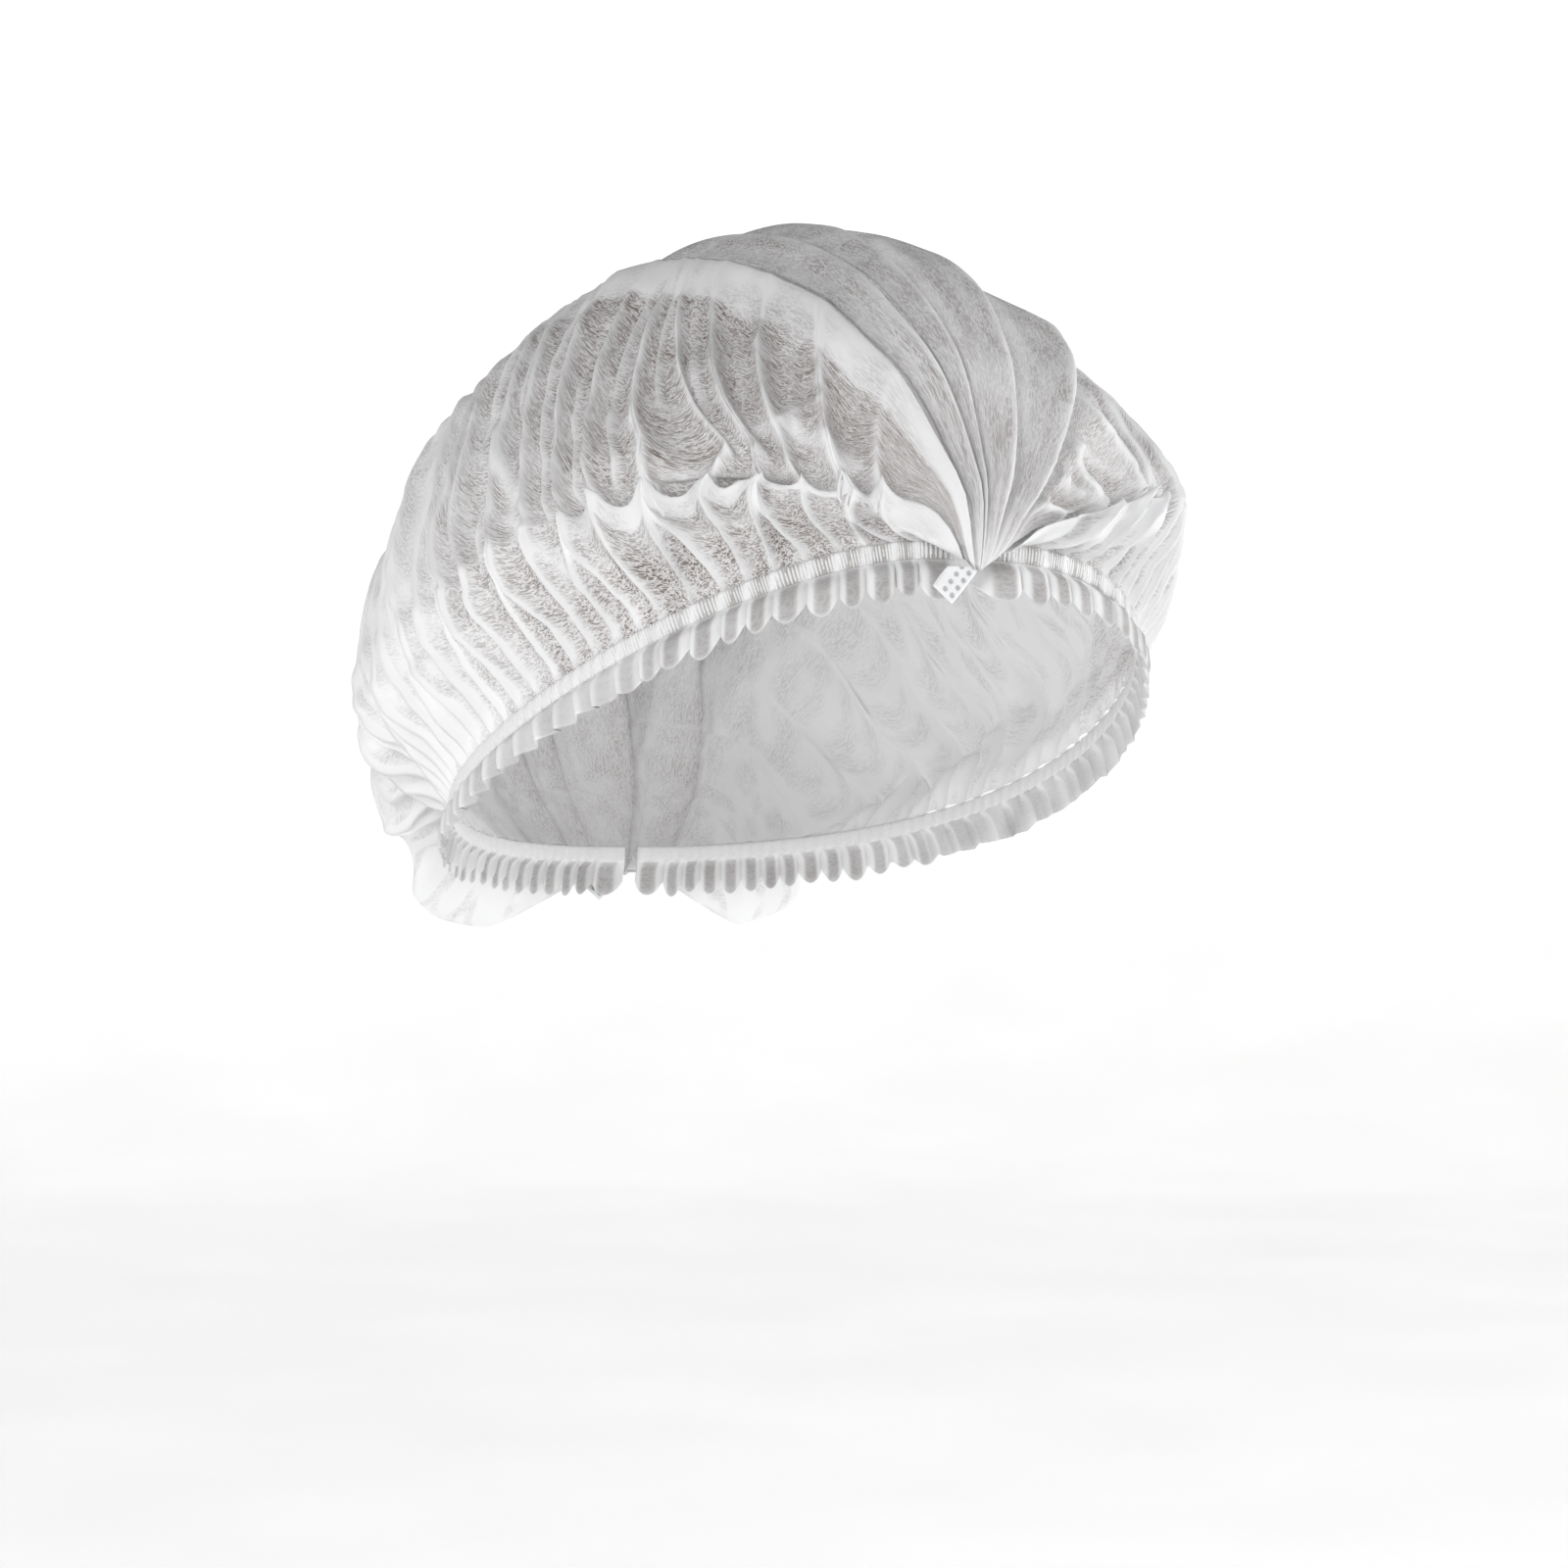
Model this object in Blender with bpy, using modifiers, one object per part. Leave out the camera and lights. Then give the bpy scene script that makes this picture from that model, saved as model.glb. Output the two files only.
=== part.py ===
"""Disposable bouffant cap of thin nonwoven cloth, held open in the form that it has when it is worn.

The front is -Y, the wearer's right is -X and +Z is up. The origin is the middle of the head opening.
One cloth sheet is folded in lengthwise pleats that meet at a front weld and a back weld, and an elastic
strip gathers each long edge. Below the elastic the hem hangs as a ruffled frill.
"""

import math

import bmesh
import bpy
import numpy as np
from mathutils import Vector

# Head opening, followed by the middle line of the elastic
BAND_HALF_WIDTH = 0.077
BAND_HALF_LENGTH = 0.097
BAND_DROP = 0.066
BAND_SAG = 0.009
BAND_LIFT = 0.002
WELD_HALF_WIDTH = 0.0050

# Bag of the crown, measured from the middle line of the elastic
BAG_HEIGHT = 0.124
BAG_OVERHANG = 0.030
FRONT_TWIST = 0.003
WELD_FALL = 0.007

# Cloth, elastic and frill
CLOTH_WALL = 0.0010
PIECE_GAP = 0.0003
ELASTIC_HEIGHT = 0.0045
ELASTIC_THICKNESS = 0.0012
FRILL_HEIGHT = 0.0092
FRILL_FLARE = 0.0016
FRILL_WAVE = 0.0017
SCALLOP_DEPTH = 0.0011
GATHER_WAVE = 0.0020
EDGE_WAVE = 0.0006
PLEAT_DEPTH = 0.0040
HEM_FOLD_DEPTH = 0.0030

# Welded tabs
TAB_WIDTH = 0.0052
TAB_LENGTH = 0.0105
TAB_THICKNESS = 0.0012
TAB_TURN = math.radians(40.0)

# Gathers: how uneven they are, how far that turns at each column and row in radians, and how much
# calmer the back is
UNEVENNESS = 0.35
UNEVEN_COLUMN_TURN = 2.4
UNEVEN_ROW_TURN = 0.6
BACK_CALM = 0.45

# Distances along the cap, as shares of the way between the welds
WELD_COVER = 0.006
TWIST_REACH = 0.10
WELD_FALL_REACH = 0.05
GATHER_REACH = 0.10
PLEAT_REACH = 0.20
FAN_REACH = 0.24
HEM_FOLD_REACH_RIGHT = 0.36
HEM_FOLD_REACH_LEFT = 0.20

# Distances across the cap, as shares of the way from elastic to elastic
BELLY_START = 0.13
DROOP_REACH = 0.34

# How deep the pleats are at a weld, as a share of their full depth, and how flat everything is there
WELD_PLEAT_SHARE = 0.25
WELD_RELIEF_SHARE = 0.15
WELD_RELIEF_SLOPE = 12.0

# Counts of the repeats along each side
GATHERS = 34
SCALLOPS = 42
FRILL_STEPS = 4

# Sections of the bag from the front weld to the back weld
# along: place between the welds, lean: forward or backward lean of the section in degrees
# rise: height as a share of BAG_HEIGHT, overhang: share of BAG_OVERHANG
# belly: height of the widest place as a share of the rise, start: angle at the elastic in degrees
# droop: share of BAG_HEIGHT, point: 1 for a round top, more for a pointed one
SECTION_COLUMNS = ("along", "lean", "rise", "overhang", "belly", "start", "droop", "point")
SECTIONS = (
    (0.00, -92.0, 0.050, 0.03, 0.50, 60.0, 0.00, 1.20),
    (0.03, -60.0, 0.075, 0.08, 0.50, 60.0, 0.00, 1.25),
    (0.10, -26.0, 0.170, 0.15, 0.50, 65.0, 0.00, 1.30),
    (0.20, -12.0, 0.440, 0.27, 0.42, 68.0, 0.00, 1.38),
    (0.30, -3.0, 0.700, 0.40, 0.34, 68.0, 0.00, 1.38),
    (0.40, 0.5, 0.885, 0.46, 0.30, 60.0, 0.01, 1.30),
    (0.50, 4.0, 0.995, 0.52, 0.28, 58.0, 0.03, 1.18),
    (0.60, 12.0, 1.005, 0.60, 0.28, 54.0, 0.06, 1.05),
    (0.70, 24.0, 0.870, 0.66, 0.30, 50.0, 0.10, 1.00),
    (0.80, 42.0, 0.580, 0.68, 0.34, 48.0, 0.16, 0.95),
    (0.90, 80.0, 0.290, 0.75, 0.45, 48.0, 0.19, 0.90),
    (0.95, 100.0, 0.180, 0.55, 0.50, 52.0, 0.08, 1.00),
    (1.00, 92.0, 0.050, 0.03, 0.50, 60.0, 0.00, 1.20),
)

# Rows of the crown's cloth from the right elastic over the top to the left elastic
# weld, crown: place across the cap beside the front weld and over the crown
# relief: share of PLEAT_DEPTH that the row stands out, fold: share of HEM_FOLD_DEPTH
# gather: share of GATHER_WAVE, zigzag: shift of the row at each gather, as a share of the way across
ROW_COLUMNS = ("weld", "crown", "relief", "fold", "gather", "zigzag")
ROWS = (
    (0.000, 0.000, 0.00, 0.0, 0.00, 0.000),
    (0.030, 0.025, 0.00, 0.2, 0.70, 0.000),
    (0.070, 0.065, 0.00, 0.4, 1.00, 0.000),
    (0.120, 0.105, 0.00, 0.8, 0.95, 0.004),
    (0.155, 0.143, 0.00, 1.0, 0.85, 0.009),
    (0.175, 0.155, 0.00, -0.6, 0.70, 0.007),
    (0.240, 0.200, 0.00, 0.0, 0.60, 0.000),
    (0.310, 0.260, 0.10, 0.0, 0.50, 0.000),
    (0.370, 0.320, 0.30, 0.0, 0.40, 0.000),
    (0.415, 0.365, 0.50, 0.0, 0.25, 0.000),
    (0.440, 0.388, 0.60, 0.0, 0.10, 0.000),
    (0.447, 0.396, -0.70, 0.0, 0.00, 0.000),
    (0.500, 0.434, 0.35, 0.0, 0.00, 0.000),
    (0.507, 0.442, -0.45, 0.0, 0.00, 0.000),
    (0.522, 0.474, 0.25, 0.0, 0.00, 0.000),
    (0.530, 0.482, -0.45, 0.0, 0.00, 0.000),
    (0.552, 0.530, 0.00, 0.0, 0.00, 0.000),
    (0.575, 0.580, 0.35, 0.0, 0.00, 0.000),
    (0.582, 0.588, -0.40, 0.0, 0.00, 0.000),
    (0.612, 0.625, 0.15, 0.0, 0.00, 0.000),
    (0.640, 0.662, 0.55, 0.0, 0.00, 0.000),
    (0.648, 0.671, -0.50, 0.0, 0.10, 0.000),
    (0.690, 0.715, 0.00, 0.0, 0.35, 0.000),
    (0.750, 0.770, 0.00, 0.0, 0.50, 0.000),
    (0.825, 0.845, 0.00, -0.6, 0.70, -0.007),
    (0.845, 0.857, 0.00, 1.0, 0.85, -0.009),
    (0.880, 0.895, 0.00, 0.8, 0.95, -0.004),
    (0.930, 0.935, 0.00, 0.4, 1.00, 0.000),
    (0.970, 0.975, 0.00, 0.2, 0.70, 0.000),
    (1.000, 1.000, 0.00, 0.0, 0.00, 0.000),
)

CLOTH_COLOUR = (0.87, 0.87, 0.88, 1.0)
ELASTIC_COLOUR = (0.93, 0.93, 0.94, 1.0)
WELD_COLOUR = (0.80, 0.81, 0.82, 1.0)
CLOTH_ROUGHNESS = 0.85
ELASTIC_ROUGHNESS = 0.7
WELD_ROUGHNESS = 0.4

# Step for the slope of the bag, as a share of the way along and across
SLOPE_STEP = 0.002


def clear_scene():
    """Remove every object that the file opened with."""
    for item in list(bpy.data.objects):
        bpy.data.objects.remove(item, do_unlink=True)


def hermite(start, start_pull, end, end_pull, t):
    """Cubic from start to end that leaves and arrives with the given pulls."""
    return (
        (2 * t**3 - 3 * t**2 + 1) * start
        + (t**3 - 2 * t**2 + t) * start_pull
        + (3 * t**2 - 2 * t**3) * end
        + (t**3 - t**2) * end_pull
    )


def read_column(name, where):
    """Read one column of the section table as a smooth curve along the cap."""
    rows = np.array(SECTIONS)
    places = rows[:, 0]
    values = rows[:, SECTION_COLUMNS.index(name)]
    steps = np.diff(places)
    rises = np.diff(values) / steps
    slopes = np.empty_like(values)
    slopes[1:-1] = (rises[:-1] * steps[1:] + rises[1:] * steps[:-1]) / (steps[1:] + steps[:-1])
    slopes[0] = rises[0]
    slopes[-1] = rises[-1]
    k = min(int(np.searchsorted(places, where, side="right")) - 1, len(places) - 2)
    t = (where - places[k]) / steps[k]
    return float(hermite(values[k], slopes[k] * steps[k], values[k + 1], slopes[k + 1] * steps[k], t))


def band_point(along):
    """Middle X, half width, Y and Z of the elastic's middle line at a place between the welds."""
    turn = math.pi * along
    half = WELD_HALF_WIDTH + (BAND_HALF_WIDTH - WELD_HALF_WIDTH) * math.sin(turn)
    y = -BAND_HALF_LENGTH * math.cos(turn)
    z = BAND_LIFT + 0.5 * BAND_DROP * math.cos(turn) - BAND_SAG * math.sin(turn) ** 2
    middle = -FRONT_TWIST * math.exp(-((along / TWIST_REACH) ** 2))
    return middle, half, y, z


def bag_point(along, across):
    """Point on the smooth bag, before its pleats and gathers."""
    middle, half, y, z = band_point(along)
    edge = min(across, 1.0 - across)
    side = -1.0 if across < 0.5 else 1.0
    angle = math.radians(read_column("start", along))
    lean = math.radians(read_column("lean", along))
    flatness = math.sqrt(1.0 - (math.sin(angle) * math.cos(lean)) ** 2)
    lift = 0.5 * ELASTIC_HEIGHT + PIECE_GAP + (0.5 * CLOTH_WALL + EDGE_WAVE * (1.0 + UNEVENNESS)) * flatness
    rise = BAG_HEIGHT * read_column("rise", along)
    width = half + BAG_OVERHANG * read_column("overhang", along)
    belly = rise * read_column("belly", along)
    if edge < BELLY_START:
        reach = math.hypot(width - half, belly)
        t = edge / BELLY_START
        x = hermite(half, reach * math.cos(angle), width, 0.0, t)
        height = hermite(0.0, reach * math.sin(angle), belly, reach, t)
    else:
        turn = 0.5 * math.pi * (edge - BELLY_START) / (0.5 - BELLY_START)
        power = read_column("point", along)
        x = width * max(math.cos(turn), 0.0) ** power
        height = belly + (rise - belly) * math.sin(turn) ** power
    droop = BAG_HEIGHT * read_column("droop", along)
    from_weld = min(along, 1.0 - along)
    fall = droop * math.sin(math.pi * min(edge / DROOP_REACH, 1.0)) ** 2
    fall += WELD_FALL * math.exp(-((from_weld / WELD_FALL_REACH) ** 2)) * (height / rise) ** 2
    return Vector((
        middle + side * x,
        y + height * math.sin(lean),
        z + lift + height * math.cos(lean) - fall,
    ))


def bag_normal(along, across):
    """Outward direction of the smooth bag."""
    before, after = max(along - SLOPE_STEP, 0.0), min(along + SLOPE_STEP, 1.0)
    right, left = max(across - SLOPE_STEP, 0.0), min(across + SLOPE_STEP, 1.0)
    way_along = bag_point(after, across) - bag_point(before, across)
    way_across = bag_point(along, left) - bag_point(along, right)
    return way_across.cross(way_along).normalized()


def fade(along, reach):
    """Rise from 0 at a weld to 1 at the given distance from both welds."""
    near = min(along, 1.0 - along)
    t = min(near / reach, 1.0)
    return t * t * (3.0 - 2.0 * t)


def hem_fold_share(along, across):
    """How far the fold above the elastic is open at this place, from 0 to 1."""
    reach = HEM_FOLD_REACH_RIGHT if across < 0.5 else HEM_FOLD_REACH_LEFT
    if along > reach:
        return 0.0
    return math.sqrt(math.sin(math.pi * along / reach))


def crown_point(column, row):
    """Point of the crown's cloth at a column between the welds and a row of the table."""
    along = column / (2 * GATHERS)
    values = dict(zip(ROW_COLUMNS, ROWS[row]))
    fan = fade(along, FAN_REACH)
    across = values["weld"] + (values["crown"] - values["weld"]) * fan
    crest = 1.0 if column % 2 else -1.0
    fold = hem_fold_share(along, across)
    across += crest * values["zigzag"] * fold
    unevenness = 1.0 + UNEVENNESS * math.sin(UNEVEN_COLUMN_TURN * column + UNEVEN_ROW_TURN * row)
    at_elastic = row in (0, len(ROWS) - 1)
    wave = EDGE_WAVE if at_elastic else GATHER_WAVE * values["gather"] * (1.0 - BACK_CALM * along**3)
    pleat_share = WELD_PLEAT_SHARE + (1.0 - WELD_PLEAT_SHARE) * fade(along, PLEAT_REACH)
    out = crest * wave * unevenness * fade(along, GATHER_REACH)
    out += PLEAT_DEPTH * values["relief"] * pleat_share
    out += HEM_FOLD_DEPTH * values["fold"] * fold
    out *= min(1.0, WELD_RELIEF_SHARE + WELD_RELIEF_SLOPE * min(along, 1.0 - along))
    return bag_point(along, across) + bag_normal(along, across) * out


def edge_outward(along, side):
    """Horizontal direction away from the head at the elastic."""
    turn = math.pi * along
    slope_x = (BAND_HALF_WIDTH - WELD_HALF_WIDTH) * math.cos(turn)
    slope_y = BAND_HALF_LENGTH * math.sin(turn)
    return Vector((side * slope_y, -slope_x, 0.0)).normalized()


def uncovered(share):
    """Place along the opening, between the ends that the welds cover."""
    return WELD_COVER + (1.0 - 2.0 * WELD_COVER) * share


def elastic_point(side, share, level):
    """Point of the elastic's middle surface, with level from 0 at the bottom to 1 at the top."""
    along = uncovered(share)
    middle, half, y, z = band_point(along)
    return Vector((middle + side * half, y, z + (level - 0.5) * ELASTIC_HEIGHT))


def frill_point(side, column, level):
    """Point of the frill's middle surface, with level from 0 at the hem to 1 below the elastic."""
    along = uncovered(column / (SCALLOPS * FRILL_STEPS))
    middle, half, y, z = band_point(along)
    top = z - 0.5 * ELASTIC_HEIGHT - PIECE_GAP
    wave = math.sin(2.0 * math.pi * column / FRILL_STEPS)
    down = 1.0 - level
    out = FRILL_FLARE * down + wave * (EDGE_WAVE + (FRILL_WAVE - EDGE_WAVE) * down)
    drop = (FRILL_HEIGHT + SCALLOP_DEPTH * wave) * down
    return Vector((middle + side * half, y, top - drop)) + edge_outward(along, side) * out


def make_material(name, colour, roughness):
    """Plain material of one piece."""
    material = bpy.data.materials.new(name)
    material.use_nodes = True
    shader = material.node_tree.nodes["Principled BSDF"]
    shader.inputs["Base Color"].default_value = colour
    shader.inputs["Roughness"].default_value = roughness
    shader.inputs["Metallic"].default_value = 0.0
    return material


def make_sheet(name, columns, rows, place, wall, material):
    """Make a sheet of cloth: a grid whose points are put in place, with a wall about its middle."""
    sheet = bmesh.new()
    bmesh.ops.create_grid(sheet, x_segments=columns, y_segments=rows, size=1.0)
    for vert in sheet.verts:
        column = round((vert.co.x + 1.0) * 0.5 * columns)
        row = round((vert.co.y + 1.0) * 0.5 * rows)
        vert.co = place(column, row)
    mesh = bpy.data.meshes.new(name)
    sheet.to_mesh(mesh)
    sheet.free()
    mesh.shade_smooth()
    item = bpy.data.objects.new(name, mesh)
    thickness = item.modifiers.new("wall", "SOLIDIFY")
    thickness.thickness = wall
    thickness.offset = 0.0
    item.data.materials.append(material)
    return item


def make_tab(name, place, material):
    """Make a welded tab: the flat end of the bonded strip, which hangs by its upper corner."""
    down = Vector((-math.sin(TAB_TURN), -math.cos(TAB_TURN)))
    across = Vector((-math.cos(TAB_TURN), math.sin(TAB_TURN)))
    tip = TAB_LENGTH * down
    corner = tip + TAB_WIDTH * across
    root = corner - down * (corner.y / down.y)
    outline = ((0.0, 0.0), tip, corner, root)
    curve = bpy.data.curves.new(name, "CURVE")
    curve.dimensions = "2D"
    curve.fill_mode = "BOTH"
    curve.extrude = 0.5 * TAB_THICKNESS
    spline = curve.splines.new("POLY")
    spline.points.add(len(outline) - 1)
    for point, (x, y) in zip(spline.points, outline):
        point.co = (x, y, 0.0, 1.0)
    spline.use_cyclic_u = True
    item = bpy.data.objects.new(name, curve)
    item.location = place
    item.rotation_euler = (math.radians(90.0), 0.0, 0.0)
    item.data.materials.append(material)
    return item


def build_cap():
    """Build each piece of the cap as an object of its own."""
    clear_scene()
    parts = bpy.data.collections.new("bouffant_cap")
    bpy.context.scene.collection.children.link(parts)

    crown = make_sheet(
        "crown", 2 * GATHERS, len(ROWS) - 1, crown_point,
        CLOTH_WALL, make_material("crown_cloth", CLOTH_COLOUR, CLOTH_ROUGHNESS),
    )
    parts.objects.link(crown)

    for hand, side in (("right", -1.0), ("left", 1.0)):
        elastic = make_sheet(
            "elastic_" + hand, GATHERS, 1,
            lambda column, row, side=side: elastic_point(side, column / GATHERS, row),
            ELASTIC_THICKNESS, make_material("elastic_" + hand, ELASTIC_COLOUR, ELASTIC_ROUGHNESS),
        )
        frill = make_sheet(
            "frill_" + hand, SCALLOPS * FRILL_STEPS, 1,
            lambda column, row, side=side: frill_point(side, column, row),
            CLOTH_WALL, make_material("frill_cloth_" + hand, CLOTH_COLOUR, CLOTH_ROUGHNESS),
        )
        parts.objects.link(elastic)
        parts.objects.link(frill)

    for hand, column in (("front", 0), ("back", 2 * GATHERS)):
        tip = crown_point(column, len(ROWS) // 2)
        place = tip - Vector((0.0, 0.0, PIECE_GAP + 0.5 * CLOTH_WALL))
        tab = make_tab(hand + "_weld", place, make_material(hand + "_weld", WELD_COLOUR, WELD_ROUGHNESS))
        parts.objects.link(tab)


build_cap()
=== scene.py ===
"""Looks of a disposable bouffant cap of thin nonwoven cloth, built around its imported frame.

The front is -Y, the wearer's right is -X and +Z is up, in metres. The cap keeps the form that it has
when worn and hangs from the elastic round its opening. Its cloth is one sheet whose lengthwise pleats
meet at a front weld and a back weld. A place on it is given by two shares: along, from the front weld to
the back weld, and across, from the right elastic over the top to the left elastic.
"""

from __future__ import annotations

import logging
import math
from dataclasses import dataclass, field
from enum import Enum

import bmesh
import bpy
import numpy as np
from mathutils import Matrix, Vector


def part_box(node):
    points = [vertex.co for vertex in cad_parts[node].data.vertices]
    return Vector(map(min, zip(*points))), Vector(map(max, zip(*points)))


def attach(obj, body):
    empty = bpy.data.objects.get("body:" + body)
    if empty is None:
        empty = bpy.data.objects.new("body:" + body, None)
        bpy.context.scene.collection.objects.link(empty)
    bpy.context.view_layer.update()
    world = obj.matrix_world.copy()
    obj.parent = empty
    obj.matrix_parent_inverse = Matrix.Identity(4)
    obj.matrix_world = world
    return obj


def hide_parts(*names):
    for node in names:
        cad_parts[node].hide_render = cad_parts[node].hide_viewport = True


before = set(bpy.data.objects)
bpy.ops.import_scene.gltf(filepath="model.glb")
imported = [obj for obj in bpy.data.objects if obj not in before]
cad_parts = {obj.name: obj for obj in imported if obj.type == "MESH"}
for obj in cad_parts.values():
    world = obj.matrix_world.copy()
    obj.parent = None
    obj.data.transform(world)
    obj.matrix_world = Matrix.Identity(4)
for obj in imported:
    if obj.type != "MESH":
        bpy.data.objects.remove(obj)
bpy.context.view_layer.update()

log = logging.getLogger("bouffant_cap")

MM = 0.001


class Side(Enum):
    """The two long edges of the sheet, by the wearer's hand."""

    RIGHT = -1.0
    LEFT = 1.0


def smooth_step(t: np.ndarray) -> np.ndarray:
    """Rise smoothly from 0 to 1 while t goes from 0 to 1."""
    t = np.clip(t, 0.0, 1.0)
    return t * t * (3.0 - 2.0 * t)


def ramp(value: np.ndarray, start: float, reach: float) -> np.ndarray:
    """Rise smoothly from 0 at start to 1 at start + reach, where a negative reach leads downwards."""
    return smooth_step((value - start) / reach)


def bell(distance: np.ndarray, width: float) -> np.ndarray:
    """Fall smoothly from 1 at no distance to almost 0 at twice the width."""
    return np.exp(-((distance / width) ** 2))


def hermite(
    start: np.ndarray, start_pull: np.ndarray, end: np.ndarray, end_pull: np.ndarray, t: np.ndarray,
) -> np.ndarray:
    """Cubic from start to end that leaves and arrives with the given pulls.

    Args:
        start: Value at t = 0.
        start_pull: Slope at t = 0.
        end: Value at t = 1.
        end_pull: Slope at t = 1.
        t: Place on the cubic, from 0 to 1.

    Returns:
        The cubic's value at t.
    """
    return (
        (2 * t**3 - 3 * t**2 + 1) * start
        + (t**3 - 2 * t**2 + t) * start_pull
        + (3 * t**2 - 2 * t**3) * end
        + (t**3 - t**2) * end_pull
    )


def soft_noise(x: np.ndarray, y: np.ndarray, seed: int, size: int = 64) -> np.ndarray:
    """Smooth random hills on a unit lattice.

    Args:
        x: First coordinate, one hill a unit.
        y: Second coordinate, one hill a unit.
        seed: Which hills.
        size: Units after which the hills repeat.

    Returns:
        Values from -1 to 1, with the shape of x.
    """
    lattice = np.random.default_rng(seed).uniform(-1.0, 1.0, (size, size))
    x0, y0 = np.floor(x).astype(int), np.floor(y).astype(int)
    tx, ty = smooth_step(x - x0), smooth_step(y - y0)
    left, right, low, high = x0 % size, (x0 + 1) % size, y0 % size, (y0 + 1) % size
    near = lattice[left, low] * (1 - tx) + lattice[right, low] * tx
    far = lattice[left, high] * (1 - tx) + lattice[right, high] * tx
    return near * (1 - ty) + far * ty


def unit(vectors: np.ndarray) -> np.ndarray:
    """Scale each row vector to length 1."""
    return vectors / np.maximum(np.linalg.norm(vectors, axis=-1, keepdims=True), 1e-12)


def from_weld(along: np.ndarray) -> np.ndarray:
    """Distance to the nearer weld, as a share of the way between the welds."""
    return np.minimum(along, 1.0 - along)


@dataclass(frozen=True)
class CapOpening:
    """The closed line that the middle of the elastic follows."""

    half_width: float = 0.077
    half_length: float = 0.097
    drop: float = 0.066
    sag: float = 0.009
    lift: float = 0.002
    weld_half_width: float = 0.0050
    weld_pinch: float = 0.0040
    pinch_reach: float = 0.016
    front_twist: float = 0.003
    twist_reach: float = 0.10
    probe: float = 1e-4

    def half(self, along: np.ndarray) -> np.ndarray:
        """Half width of the opening at a place between the welds."""
        pinched = self.weld_half_width - self.weld_pinch * bell(from_weld(along), self.pinch_reach)
        return pinched + (self.half_width - self.weld_half_width) * np.sin(np.pi * along)

    def middle(self, along: np.ndarray) -> np.ndarray:
        """Sideways place of the middle of the opening, which turns a little at the front."""
        return -self.front_twist * bell(along, self.twist_reach)

    def y(self, along: np.ndarray) -> np.ndarray:
        """Place of the elastic from front to back."""
        return -self.half_length * np.cos(np.pi * along)

    def z(self, along: np.ndarray) -> np.ndarray:
        """Height of the elastic's middle, high at the front weld and low at the back weld."""
        return self.lift + 0.5 * self.drop * np.cos(np.pi * along) - self.sag * np.sin(np.pi * along) ** 2

    def point(self, along: np.ndarray, side: Side) -> np.ndarray:
        """Points of the elastic's middle line on one side."""
        x = self.middle(along) + side.value * self.half(along)
        return np.stack([x, self.y(along), self.z(along)], axis=-1)

    def outward(self, along: np.ndarray, side: Side) -> np.ndarray:
        """Find the horizontal directions out of the opening.

        Args:
            along: Shares of the way between the welds.
            side: Which long edge of the sheet.

        Returns:
            One direction of length 1 for each place.
        """
        slope_x = (self.half_width - self.weld_half_width) * np.cos(np.pi * along)
        slope_y = self.half_length * np.sin(np.pi * along)
        return unit(np.stack([side.value * slope_y, -slope_x, np.zeros_like(along)], axis=-1))

    def forward(self, along: np.ndarray, side: Side) -> np.ndarray:
        """Directions along the elastic, from the front weld to the back weld."""
        before = self.point(np.clip(along - self.probe, 0.0, 1.0), side)
        return unit(self.point(np.clip(along + self.probe, 0.0, 1.0), side) - before)


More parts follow.
